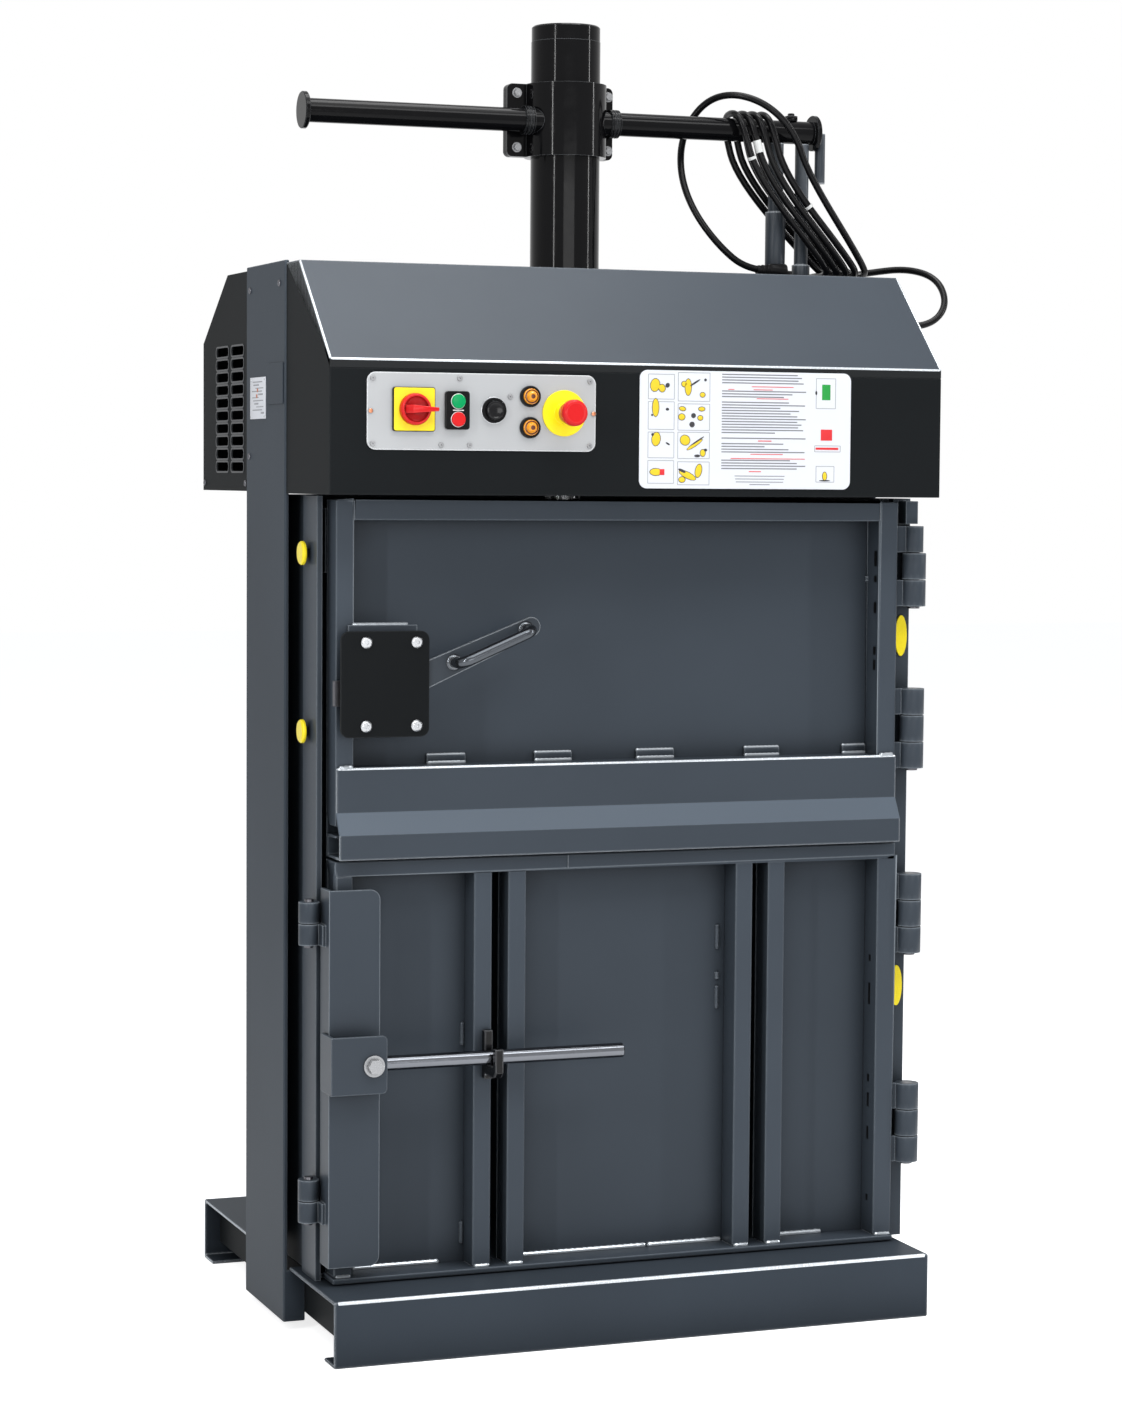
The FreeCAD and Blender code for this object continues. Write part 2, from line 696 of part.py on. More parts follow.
def hood_front_panel():
    """The black front of the hood, folded in at its foot and under the lid's lap."""
    back = HOOD_FRONT + HOOD_SHEET
    inner = HOOD_HALF - HOOD_SHEET
    sheet = box((-HOOD_HALF, HOOD_HALF), (HOOD_FRONT, back), (HOOD_BOTTOM, HOOD_FOLD - LID_LAP))
    fold = box((-inner, inner), (back, back + HOOD_RETURN), (HOOD_BOTTOM, HOOD_BOTTOM + HOOD_SHEET))
    lap = box((-inner, inner), (back, back + HOOD_SHEET), (HOOD_BOTTOM, HOOD_FOLD - 3 * HOOD_SHEET))
    return join([sheet, fold, lap])


def hood_ends():
    """The two black end plates of the hood."""
    front = HOOD_FRONT + HOOD_SHEET
    rise = (HOOD_TOP - HOOD_FOLD) / (SLOPE_BACK - HOOD_FRONT)
    drop = HOOD_SHEET * math.hypot(1, rise)
    outline = [
        (front, HOOD_BOTTOM),
        (COLUMN_FRONT, HOOD_BOTTOM),
        (COLUMN_FRONT, HOOD_TOP - HOOD_SHEET),
        (SLOPE_BACK + (drop - HOOD_SHEET) / rise, HOOD_TOP - HOOD_SHEET),
        (front, HOOD_FOLD + rise * HOOD_SHEET - drop),
    ]
    end = prism_x(outline, (HOOD_HALF - HOOD_SHEET, HOOD_HALF))
    return group([end, mirror_x(end)])


def power_box_shell():
    """The back, the chamfer, the top and the floor of the power pack's housing."""
    line = [
        (COLUMN_BACK, BOX_BOTTOM),
        (BOX_BACK, BOX_BOTTOM),
        (BOX_BACK, BOX_CHAMFER_Z),
        (BOX_TOP_BACK, BOX_TOP),
        (COLUMN_BACK, BOX_TOP),
    ]
    half = BOX_HALF - HOOD_SHEET
    return folded(line, HOOD_SHEET, (-half, half))


def power_box_ends():
    """The end plates of the power pack's housing, with two columns of louvre slots."""
    outline = [
        (COLUMN_BACK, BOX_BOTTOM),
        (BOX_BACK, BOX_BOTTOM),
        (BOX_BACK, BOX_CHAMFER_Z),
        (BOX_TOP_BACK, BOX_TOP),
        (COLUMN_BACK, BOX_TOP),
    ]
    end = prism_x(outline, (BOX_HALF - HOOD_SHEET, BOX_HALF))
    first = COLUMN_BACK + LOUVRE_INSET + LOUVRE_LENGTH / 2
    for column in range(2):
        centre = first + column * (LOUVRE_LENGTH + LOUVRE_GAP)
        for row in range(LOUVRE_ROWS):
            end = end.cut(louvre(centre, LOUVRE_TOP - row * LOUVRE_PITCH))
    return group([end, mirror_x(end)])


def louvre(y, z):
    """The cutter of one obround slot through an end plate."""
    half = (LOUVRE_LENGTH - LOUVRE_HEIGHT) / 2
    x = (BOX_HALF - 2 * HOOD_SHEET, BOX_HALF + HOOD_SHEET)
    middle = box(x, (y - half, y + half), (z - LOUVRE_HEIGHT / 2, z + LOUVRE_HEIGHT / 2))
    ends = [rod(V(x[0], y + s * half, z), V(x[1], y + s * half, z), LOUVRE_HEIGHT / 2) for s in (-1, 1)]
    return join([middle] + ends)


# =================================================================== power pack
def oil_tank():
    """The folded oil tank on the floor of the housing."""
    bottom = BOX_BOTTOM + HOOD_SHEET
    tank = box((-TANK_HALF, TANK_HALF), (TANK_FRONT, TANK_BACK), (bottom, bottom + TANK_HEIGHT))
    return round_edges(tank, Z_AXIS, TANK_CORNER)


def motor_height():
    """The motor's axis, on top of the tank."""
    return BOX_BOTTOM + HOOD_SHEET + TANK_HEIGHT + MOTOR_R


def motor_line():
    """The motor's axis, half a radius before the tank's middle."""
    return (TANK_FRONT + TANK_BACK - MOTOR_R) / 2


def pump_motor():
    """The electric motor that lies on the tank, with its cooling ribs."""
    y, z = motor_line(), motor_height()
    half = MOTOR_LENGTH / 2
    pieces = [rod(V(-half, y, z), V(half, y, z), MOTOR_CORE_R)]
    for n in range(MOTOR_RIBS):
        x = (n + 0.5) * MOTOR_LENGTH / MOTOR_RIBS - half
        pieces.append(rod(V(x - MOTOR_RIB / 2, y, z), V(x + MOTOR_RIB / 2, y, z), MOTOR_R))
    return join(pieces)


def hydraulic_pump():
    """The gear pump on the motor's end."""
    y, z = motor_line(), motor_height()
    face = MOTOR_LENGTH / 2
    flange = rod(V(face, y, z), V(face + PUMP_FLANGE, y, z), PUMP_FLANGE_R)
    block = box((face, face + PUMP_LENGTH), (y - PUMP_R, y + PUMP_R), (z - PUMP_R, z + PUMP_R))
    return join([flange, round_edges(block, X_AXIS, PUMP_CORNER)])


def pressure_pipe():
    """The steel pipe from the pump to the cylinder's foot."""
    x = (MOTOR_LENGTH + PUMP_LENGTH) / 2
    pump_top = motor_height() + PUMP_R
    run = pump_top + 5 * PIPE_R
    low = HEAD_BEAM_TOP + 6 * PIPE_R
    points = [
        V(x, motor_line(), pump_top),
        V(x, motor_line(), run),
        V(x, 0, run),
        V(x, 0, low),
        V(BARREL_R, 0, low),
    ]
    return tube(points, PIPE_R, [PIPE_BEND] * 3)


# ====================================================================== cylinder
def cylinder_barrel():
    """The press cylinder's tube, with its lower flange on the crossbeam."""
    shell = ring(V(0, 0, BARREL_BOTTOM), V(0, 0, BARREL_TOP), BARREL_R, BORE_R)
    guide = ring(V(0, 0, BARREL_BOTTOM), V(0, 0, BARREL_BOTTOM + ROD_GUIDE), BORE_R, ROD_R + RUNNING)
    flange = ring(V(0, 0, HEAD_BEAM_TOP), V(0, 0, HEAD_BEAM_TOP + FLANGE_THICK), FLANGE_R, BARREL_R)
    return group([join([shell, guide]), flange])


def cylinder_cap():
    """The cylinder's head cap, with a groove below its crown."""
    crown = rod(V(0, 0, BARREL_TOP), V(0, 0, BARREL_TOP + CAP_HEIGHT), CAP_R)
    rim = [e for e in crown.Edges if e.CenterOfMass.z > BARREL_TOP + CAP_HEIGHT - 0.1]
    crown = crown.makeChamfer(CAP_BEVEL, rim)
    plug = rod(V(0, 0, BARREL_TOP - CAP_HEIGHT), V(0, 0, BARREL_TOP), BORE_R)
    return join([crown, plug])


def bar_clamp():
    """The split clamp round the cylinder, its two halves bolted through ears."""
    z = (CLAMP_BOTTOM, CLAMP_TOP)
    reach = CLAMP_R + CLAMP_EAR
    root = (BARREL_R + CLAMP_R) / 2
    ears = ((-reach, -root), (root, CLAMP_R + CLAMP_SHORT_EAR))
    halves = []
    for side in (-1, 1):
        shell = ring(V(0, 0, z[0]), V(0, 0, z[1]), CLAMP_R, BARREL_R)
        inner = CLAMP_SPLIT_Y + side * CLAMP_SPLIT / 2
        outer = inner + side * CLAMP_EAR_THICK
        cut_y = (inner, reach) if side < 0 else (-reach, inner)
        shell = shell.cut(box((-reach, reach), cut_y, z))
        y = (min(inner, outer), max(inner, outer))
        for x in ears:
            ear = round_edges(box(x, y, z), Y_AXIS, CLAMP_EAR_CORNER, lambda c: abs(c.x) > CLAMP_R)
            shell = shell.fuse(ear)
        shell = shell.cut(rod(V(0, 0, z[0]), V(0, 0, z[1]), BARREL_R))
        for bar_side in (-1, 1):
            shell = shell.cut(reel_bar_outline(bar_side))
        halves.append(shell.removeSplitter())
    return group(halves)


def reel_bar_outline(side):
    """One reel bar as a solid round, from the barrel out to its end disc."""
    end = LEFT_BAR_END if side < 0 else RIGHT_BAR_END
    bar = rod(V(0, REEL_BAR_Y, REEL_BAR_Z), V(end, REEL_BAR_Y, REEL_BAR_Z), REEL_BAR_R)
    barrel = rod(V(0, 0, CLAMP_BOTTOM), V(0, 0, CLAMP_TOP), BARREL_R)
    return bar.cut(barrel)


def reel_bars():
    """The two round bars for strap reels, each with a collar and an end disc."""
    bars = []
    for side, end in ((-1, LEFT_BAR_END), (1, RIGHT_BAR_END)):
        tip = V(end, REEL_BAR_Y, REEL_BAR_Z)
        bar = reel_bar_outline(side)
        inner = V(side * CLAMP_R, REEL_BAR_Y, REEL_BAR_Z)
        outer = inner + V(side * BAR_COLLAR, 0, 0)
        collar = rod(inner, outer, BAR_COLLAR_R)
        for n in (1, 2):
            groove = inner + V(side * n * BAR_COLLAR / 3, 0, 0)
            half = V(side * BAR_GROOVE, 0, 0)
            collar = collar.cut(ring(groove - half, groove + half, BAR_COLLAR_R, BAR_COLLAR_R - BAR_GROOVE))
        disc = rod(tip, V(end - side * BAR_DISC, REEL_BAR_Y, REEL_BAR_Z), BAR_DISC_R)
        disc = disc.makeChamfer(BAR_GROOVE, [e for e in disc.Edges if isinstance(e.Curve, Part.Circle)])
        bars.append(join([bar, collar, disc]))
    return group(bars)


def bar_stands():
    """The two upright tubes under the right bar and the short drop tube at its end."""
    underside = REEL_BAR_Z - REEL_BAR_R
    plain = rod(V(STAND_X, REEL_BAR_Y, HOOD_TOP), V(STAND_X, REEL_BAR_Y, underside), STAND_R)
    sleeve_top = HOOD_TOP + (underside - HOOD_TOP) / 2
    sleeve = rod(V(STAND_X, REEL_BAR_Y, HOOD_TOP), V(STAND_X, REEL_BAR_Y, sleeve_top), SLEEVE_R)
    first = join([plain, sleeve])
    x = FLANGED_STAND_X
    flange = flange_plate(x)
    foot = rod(V(x, REEL_BAR_Y, HOOD_TOP), V(x, REEL_BAR_Y, HOOD_TOP + STAND_FOOT_HEIGHT), STAND_FOOT_R)
    upright = rod(V(x, REEL_BAR_Y, HOOD_TOP), V(x, REEL_BAR_Y, underside), FLANGED_STAND_R)
    second = join([flange, foot, upright])
    crown = REEL_BAR_Z
    first = first.cut(reel_bar_outline(1))
    second = second.cut(reel_bar_outline(1))
    drop_x = RIGHT_BAR_END + DROP_TUBE_R
    drop = rod(V(drop_x, REEL_BAR_Y, crown), V(drop_x, REEL_BAR_Y, crown - DROP_TUBE_LENGTH), DROP_TUBE_R)
    return group([first, second, drop])


def flange_plate(x):
    """The long flange at the foot of the outer stand."""
    half = STAND_BOLT_SPACING / 2 + 2 * STAND_BOLT_R
    z = (HOOD_TOP, HOOD_TOP + STAND_FLANGE)
    middle = box((x - half, x + half), (REEL_BAR_Y - STAND_FOOT_R, REEL_BAR_Y + STAND_FOOT_R), z)
    return round_edges(middle, Z_AXIS, STAND_FLANGE_CORNER)


def piston_rod():
    """The chromed rod with its piston, which rides at the barrel's top at rest."""
    top = BARREL_TOP - CAP_HEIGHT - PISTON_REST
    shaft = rod(V(0, 0, PLATEN_TOP), V(0, 0, top), ROD_R)
    piston = rod(V(0, 0, top - PISTON_LENGTH), V(0, 0, top), BORE_R - RUNNING)
    return join([shaft, piston])


def press_platen():
    """The welded press plate, with upright ribs and two strap grooves in its face."""
    half = WALL_OUTER - WALL - PLATEN_GAP
    y = (WALL_FRONT + PLATEN_GAP, COLUMN_BACK - WALL - PLATEN_GAP)
    z = (PLATEN_TOP - PLATEN_HEIGHT, PLATEN_TOP)
    lower = box((-half, half), y, (z[0], z[0] + 2 * PLATEN_SHEET))
    upper = box((-half, half), y, (z[1] - PLATEN_SHEET, z[1]))
    skirt = box((-half, half), y, z).cut(
        box((-half + PLATEN_SHEET, half - PLATEN_SHEET), (y[0] + PLATEN_SHEET, y[1] - PLATEN_SHEET), z)
    )
    pieces = [lower, upper, skirt]
    for n in range(PLATEN_RIBS):
        x = -half + (n + 1) * 2 * half / (PLATEN_RIBS + 1)
        pieces.append(box((x - PLATEN_SHEET / 2, x + PLATEN_SHEET / 2), y, z))
    platen = join(pieces)
    for centre in strap_centres():
        groove = box((centre - STRAP_GROOVE / 2, centre + STRAP_GROOVE / 2), y, (z[0], z[0] + PLATEN_SHEET))
        platen = platen.cut(groove)
    return platen


# ========================================================================= doors
def upper_door_frame():
    """The two stiles, the top bar and the channel behind the ledge."""
    y = (DOOR_FRONT, DOOR_BACK)
    bevel = STILE / 2
    left = box((DOOR_LEFT, DOOR_LEFT + STILE), y, (STILE_BOTTOM, UPPER_TOP))
    right = box((UPPER_RIGHT - RIGHT_STILE, UPPER_RIGHT), y, (STILE_BOTTOM, UPPER_TOP))
    inner = (DOOR_LEFT + STILE, UPPER_RIGHT - RIGHT_STILE)
    top = box(inner, y, (UPPER_TOP - UPPER_BAR, UPPER_TOP))
    cutter = prism_x(
        [(DOOR_BACK, STILE_BOTTOM), (DOOR_BACK, STILE_BOTTOM + bevel), (DOOR_BACK - bevel, STILE_BOTTOM)],
        (DOOR_LEFT, UPPER_RIGHT),
    )
    channel = box((DOOR_LEFT, UPPER_RIGHT), y, (LEDGE_BOTTOM, LEDGE_BOTTOM + UPPER_BOTTOM_RAIL))
    hollow = box(
        (DOOR_LEFT, UPPER_RIGHT),
        (DOOR_FRONT, DOOR_BACK - LEDGE_SHEET),
        (LEDGE_BOTTOM + LEDGE_SHEET, LEDGE_BOTTOM + UPPER_BOTTOM_RAIL - LEDGE_SHEET),
    )
    return group([left.cut(cutter), right.cut(cutter), top, channel.cut(hollow)])


def upper_door_skin():
    """The flat sheet behind the upper door's frame."""
    y = (DOOR_BACK, DOOR_BACK + DOOR_SKIN)
    return box((DOOR_LEFT, UPPER_RIGHT), y, (LEDGE_BOTTOM, UPPER_TOP))


def upper_door_ledge():
    """The folded apron across the foot of the upper door."""
    line = [
        (DOOR_FRONT - LEDGE_SHEET, LEDGE_TOP - LEDGE_SHEET),
        (DOOR_FRONT - LEDGE_SHEET, LEDGE_FOLD_1),
        (DOOR_FRONT - LEDGE_OUT, LEDGE_FOLD_2),
        (DOOR_FRONT - LEDGE_OUT, LEDGE_BOTTOM),
        (DOOR_FRONT, LEDGE_BOTTOM),
    ]
    inner = (DOOR_LEFT + STILE, UPPER_RIGHT - RIGHT_STILE)
    apron = folded(line, LEDGE_SHEET, (DOOR_LEFT, UPPER_RIGHT))
    z = (LEDGE_TOP - LEDGE_SHEET, LEDGE_TOP)
    cap = box((DOOR_LEFT, UPPER_RIGHT), (DOOR_FRONT - LEDGE_SHEET, DOOR_FRONT), z)
    shelf = box(inner, (DOOR_FRONT - LEDGE_SHEET, DOOR_BACK), z)
    return join([shelf, apron, cap])


def lower_door_frame():
    """The stiles, four posts, top bar and bottom rail of the lower door."""
    y = (DOOR_FRONT, DOOR_BACK)
    foot = RAIL_BOTTOM + RAIL_HEIGHT
    head = LOWER_TOP - LOWER_BAR
    left = box((DOOR_LEFT, DOOR_LEFT + STILE), y, (foot, head))
    right = box((LOWER_RIGHT - RIGHT_STILE, LOWER_RIGHT), y, (foot, head))
    posts = [box((x, x + DOOR_POST), y, (foot, head)) for x in DOOR_POST_LEFTS]
    top = box((DOOR_LEFT, LOWER_RIGHT), y, (head, LOWER_TOP))
    rail_y = (DOOR_FRONT - RAIL_HEIGHT, DOOR_BACK)
    rail = box((DOOR_LEFT - RAIL_REACH, LOWER_RIGHT), rail_y, (RAIL_BOTTOM, foot))
    return group([left, right] + posts + [top, rail])


def lower_door_skins():
    """The three sheets behind the lower door's frame, apart at the strap gaps."""
    y = (DOOR_BACK, DOOR_BACK + DOOR_SKIN)
    z = (RAIL_BOTTOM, LOWER_TOP)
    edges = [
        (DOOR_LEFT, DOOR_POST_LEFTS[0] + DOOR_POST),
        (DOOR_POST_LEFTS[1], DOOR_POST_LEFTS[2] + DOOR_POST),
        (DOOR_POST_LEFTS[3], LOWER_RIGHT),
    ]
    return group([box(x, y, z) for x in edges])


# ======================================================================== hinges
def knuckle_spans(centre):
    """The lower, middle and upper knuckle of a door hinge, as Z ranges."""
    step = KNUCKLE + KNUCKLE_GAP
    spans = []
    for n in (-1, 0, 1):
        middle = centre + n * step
        spans.append((middle - KNUCKLE / 2, middle + KNUCKLE / 2))
    return spans


def hinge_round(z, radius):
    """A round on the doors' axis."""
    return rod(V(HINGE_X, HINGE_Y, z[0]), V(HINGE_X, HINGE_Y, z[1]), radius)


def door_knuckle(z):
    """A bored hinge knuckle on the doors' axis."""
    topmost = z == knuckle_spans(HINGE_HEIGHTS[0])[2]
    radius = SLIM_KNUCKLE_R if topmost else HINGE_R
    return hinge_round(z, radius).cut(hinge_round(z, HINGE_PIN_R + RUNNING))


def door_leaves(heights, door_edge):
    """The upper and lower knuckles of some hinges, with their leaves to the door."""
    pieces = []
    for centre in heights:
        low, _, high = knuckle_spans(centre)
        for z in (low, high):
            leaf = box((door_edge, HINGE_X), (HINGE_Y, HINGE_Y + LEAF), z)
            leaf = leaf.cut(hinge_round(z, HINGE_PIN_R + RUNNING))
            pieces.append(join([door_knuckle(z), leaf]))
    return group(pieces)


def frame_knuckles():
    """The middle knuckles on the hinge post and the latch's upper knuckles."""
    pieces = []
    for centre in HINGE_HEIGHTS:
        z = knuckle_spans(centre)[1]
        block = box((HINGE_X - LEAF, RIGHT_POST_OUTER), (HINGE_Y, POST_FRONT), z)
        block = block.cut(hinge_round(z, HINGE_PIN_R + RUNNING))
        pieces.append(join([door_knuckle(z), block]))
    for centre in SMALL_HINGE_HEIGHTS:
        z = (centre + KNUCKLE_GAP / 2, centre + KNUCKLE_GAP / 2 + SMALL_KNUCKLE)
        x = (SMALL_HINGE_X + KNUCKLE_GAP, -LEFT_POST_FACE)
        block = box(x, (SMALL_HINGE_Y, POST_FRONT + SMALL_HINGE_R), z)
        block = block.cut(small_round(z, SMALL_PIN_R + RUNNING))
        pieces.append(join([small_knuckle(z), block]))
    return group(pieces)


def small_round(z, radius):
    """A round on the latch plate's axis."""
    return rod(V(SMALL_HINGE_X, SMALL_HINGE_Y, z[0]), V(SMALL_HINGE_X, SMALL_HINGE_Y, z[1]), radius)


def small_knuckle(z):
    """A bored knuckle on the latch plate's axis."""
    return small_round(z, SMALL_HINGE_R).cut(small_round(z, SMALL_PIN_R + RUNNING))


def hinge_pins():
    """All hinge pins, each with a head under its lowest knuckle."""
    pins = []
    for centre in HINGE_HEIGHTS:
        spans = knuckle_spans(centre)
        low, high = spans[0][0] - KNUCKLE_GAP / 4, spans[2][1]
        head = hinge_round((low - PIN_HEAD, low), PIN_HEAD_R)
        pins.append(join([hinge_round((low, high), HINGE_PIN_R), head]))
    for centre in SMALL_HINGE_HEIGHTS:
        reach = SMALL_KNUCKLE + KNUCKLE_GAP + PIN_HEAD
        pins.append(small_round((centre - reach, centre + reach), SMALL_PIN_R))
    return group(pins)


# =================================================================== lower latch
def latch_plate():
    """The angle plate that clamps the lower door's edge, with its two knuckles."""
    z = (LATCH_BOTTOM, LATCH_TOP)
    front = box((LATCH_LEFT, LATCH_RIGHT), (LATCH_FRONT, LATCH_FRONT + LATCH_SHEET), z)
    front = round_edges(front, Y_AXIS, LATCH_CORNER, lambda c: c.x > LATCH_RIGHT - 1)
    side = box((LATCH_LEFT, LATCH_LEFT + LATCH_SHEET), (LATCH_FRONT, LATCH_BACK), z)
    plate_body = join([front, side])
    plate_body = plate_body.cut(latch_bore(LATCH_FRONT, LATCH_FRONT + LATCH_SHEET, LATCH_BOLT_R))
    for centre in SMALL_HINGE_HEIGHTS:
        span = (centre - KNUCKLE_GAP / 2 - SMALL_KNUCKLE, centre - KNUCKLE_GAP / 2)
        leaf = box((LATCH_LEFT - SMALL_LEAF, LATCH_LEFT), (LATCH_FRONT + LATCH_CORNER, SMALL_HINGE_Y), span)
        plate_body = plate_body.fuse(join([small_knuckle(span), leaf]))
    return plate_body.removeSplitter()


def latch_bore(front, back, radius):
    """A round on the lift rod's pivot, between two Y values."""
    return rod(V(LIFT_ROD_PIVOT_X, front, LIFT_ROD_Z), V(LIFT_ROD_PIVOT_X, back, LIFT_ROD_Z), radius)


def latch_bracket():
    """The hat bracket that carries the lift rod's pivot bolt."""
    z = (BRACKET_BOTTOM, BRACKET_TOP)
    left = LATCH_LEFT - LATCH_SHEET
    front = box((left, BRACKET_RIGHT), (BRACKET_FRONT, BRACKET_FRONT + LATCH_SHEET), z)
    front = round_edges(front, Y_AXIS, BRACKET_CORNER, lambda c: c.x > BRACKET_RIGHT - 1)
    side = box((left, LATCH_LEFT), (BRACKET_FRONT, BRACKET_BACK), z)
    return join([front, side]).cut(latch_bore(BRACKET_FRONT, LATCH_FRONT, LATCH_BOLT_R))


def latch_bolt():
    """The pivot bolt, with its washer and hexagon head in front of the bracket."""
    washer_front = BRACKET_FRONT - LATCH_WASHER
    shank = latch_bore(BRACKET_FRONT, LATCH_FRONT + LATCH_SHEET, LATCH_BOLT_R)
    washer = latch_bore(washer_front, BRACKET_FRONT, LATCH_WASHER_R)
    head = hexagon(V(LIFT_ROD_PIVOT_X, washer_front, LIFT_ROD_Z), LATCH_HEAD_R, -LATCH_HEAD)
    return join([shank, washer, head])


def hexagon(centre, radius, depth):
    """A hexagon head that faces the front."""
    points = []
    for n in range(6):
        angle = math.radians(60 * n)
        points.append(centre + V(radius * math.cos(angle), 0, radius * math.sin(angle)))
    return prism(points, V(0, depth, 0))


def lift_rod():
    """The chromed lift rod, flattened to an eye at its pivot."""
    y = LIFT_ROD_Y
    half = LIFT_ROD_R - EYE_RELIEF
    eye = latch_bore(y - half, y + half, LIFT_EYE_R)
    bar = rod(V(LIFT_ROD_PIVOT_X + LATCH_BOLT_R, y, LIFT_ROD_Z), V(LIFT_ROD_END, y, LIFT_ROD_Z), LIFT_ROD_R)
    bar = bar.makeChamfer(LIFT_ROD_BEVEL, [e for e in bar.Edges if e.CenterOfMass.x > LIFT_ROD_END - 0.1])
    bore = latch_bore(y - LIFT_ROD_R, y + LIFT_ROD_R, LATCH_BOLT_R + RUNNING)
    return join([eye, bar]).cut(bore)


def rod_hook():
    """The plate hook on the door's first post, open at its top for the rod."""
    floor_top = LIFT_ROD_Z - LIFT_ROD_R - HOOK_REST
    half = HOOK_HEIGHT / 2
    base_front = DOOR_FRONT - HOOK_BASE
    tongue_back = LIFT_ROD_Y - LIFT_ROD_R - HOOK_TONGUE_GAP
    tongue_front = tongue_back - HOOK_TONGUE
    outline = [
        (DOOR_FRONT, LIFT_ROD_Z - half),
        (DOOR_FRONT, LIFT_ROD_Z + half),
        (base_front, LIFT_ROD_Z + half),
        (base_front, floor_top),
        (tongue_back, floor_top),
        (tongue_back, LIFT_ROD_Z + HOOK_TONGUE_TOP),
        (tongue_front, LIFT_ROD_Z + HOOK_TONGUE_TOP),
        (tongue_front, floor_top - HOOK_FLOOR + HOOK_BEVEL),
        (tongue_front + HOOK_BEVEL, floor_top - HOOK_FLOOR),
        (base_front, floor_top - HOOK_FLOOR),
        (base_front, LIFT_ROD_Z - half),
    ]
    return prism_x(outline, (HOOK_X - HOOK_THICK / 2, HOOK_X + HOOK_THICK / 2))


# ==================================================================== upper lock
def lock_base():
    """The lock's back plate on the door stile, with four spacers and a bolt guide."""
    y = (LOCK_BASE_FACE, DOOR_FRONT)
    sheet = box((LOCK_BASE_LEFT, LOCK_BASE_RIGHT), y, (LOCK_BASE_BOTTOM, LOCK_BASE_TOP))
    pieces = [sheet]
    for x, z in lock_corners():
        pieces.append(rod(V(x, y[0], z), V(x, LOCK_FRONT + LOCK_SHEET, z), SPACER_R))
    guide_y = (y[0] - BOLT_THICK - 2 * BOLT_CLEARANCE, y[0])
    guide_x = (LOCK_BASE_LEFT, LOCK_BASE_LEFT + 2 * BOLT_GUIDE)
    for side in (-1, 1):
        near = LEVER_PIVOT_Z + side * (BOLT_HEIGHT / 2 + SLIDE)
        far = near + side * BOLT_GUIDE
        pieces.append(box(guide_x, guide_y, (min(near, far), max(near, far))))
    return join(pieces).cut(across(lever_point(0), y[0], y[1], SHAFT_R + RUNNING))


def lock_corners():
    """The four screw places of the lock's cover."""
    heights = (LOCK_BOTTOM + LOCK_SCREW_INSET, LOCK_TOP - LOCK_SCREW_INSET)
    return [(x, z) for x in (LOCK_SCREW_LEFT, LOCK_SCREW_RIGHT) for z in heights]


def lock_cover():
    """The black cover plate of the lock."""
    y = (LOCK_FRONT, LOCK_FRONT + LOCK_SHEET)
    return plate((LOCK_LEFT, LOCK_RIGHT), (LOCK_BOTTOM, LOCK_TOP), y, LOCK_CORNER)


def lock_screws():
    """The cover's four button-head screws."""
    return group([screw_head(x, z) for x, z in lock_corners()])


def screw_head(x, z):
    """A bevelled screw head that faces the front, with a hexagon socket."""
    front = LOCK_FRONT - LOCK_SCREW_DEPTH
    head = rod(V(x, front, z), V(x, LOCK_FRONT, z), LOCK_SCREW_R)
    head = head.makeChamfer(LOCK_SCREW_DEPTH / 2, front_rim(head))
    return head.cut(hexagon(V(x, front, z), LOCK_SCREW_R * 0.35, LOCK_SCREW_DEPTH / 2))


def lever_point(along, aside=0.0):
    """A point on the lock lever's face, measured from its pivot."""
    angle = math.radians(LEVER_RISE)
    x = LEVER_PIVOT_X + along * math.cos(angle) - aside * math.sin(angle)
    z = LEVER_PIVOT_Z + along * math.sin(angle) + aside * math.cos(angle)
    return x, z


def lock_lever():
    """The flat lever on its shaft, with the crank pin that draws the bolt."""
    root, end = LEVER_ROOT_WIDTH / 2, LEVER_TIP_WIDTH / 2
    reach = LEVER_LENGTH - end
    corners = [lever_point(0, -root), lever_point(reach, -end), lever_point(reach, end), lever_point(0, root)]
    bar = prism_y(corners, (LEVER_FRONT, LEVER_BACK))
    tip = across(lever_point(reach), LEVER_FRONT, LEVER_BACK, end)
    hub = across(lever_point(0), LEVER_FRONT, LEVER_BACK, HUB_R)
    shaft = across(lever_point(0), LEVER_FRONT, DOOR_FRONT + SHAFT_SINK, SHAFT_R)
    pin = across(crank_pin(), LEVER_BACK, LOCK_BASE_FACE - SLIDE, CRANK_PIN_R)
    return join([bar, tip, hub, shaft, pin])


def across(centre, front, back, radius):
    """A round from front to back at one (x, z) place."""
    return rod(V(centre[0], front, centre[1]), V(centre[0], back, centre[1]), radius)


def crank_pin():
    """The crank pin's place at rest, half a swing to the left of its highest point."""
    swing = math.radians(LEVER_SWING / 2)
    return LEVER_PIVOT_X - CRANK * math.sin(swing), LEVER_PIVOT_Z + CRANK * math.cos(swing)


def lever_handle():
    """The bow grip: a round bar on two posts in front of the lever."""
    y = LEVER_FRONT - GRIP_STAND
    start = lever_point(GRIP_FROM)
    end = lever_point(GRIP_TO - GRIP_R)
    points = [
        V(start[0], LEVER_FRONT, start[1]),
        V(start[0], y, start[1]),
        V(end[0], y, end[1]),
        V(end[0], LEVER_FRONT, end[1]),
    ]
    return tube(points, GRIP_R, [2 * GRIP_R] * 2)


def bolt_travel():
    """How far the crank draws the bolt in one swing of the lever."""
    return 2 * CRANK * math.sin(math.radians(LEVER_SWING / 2))


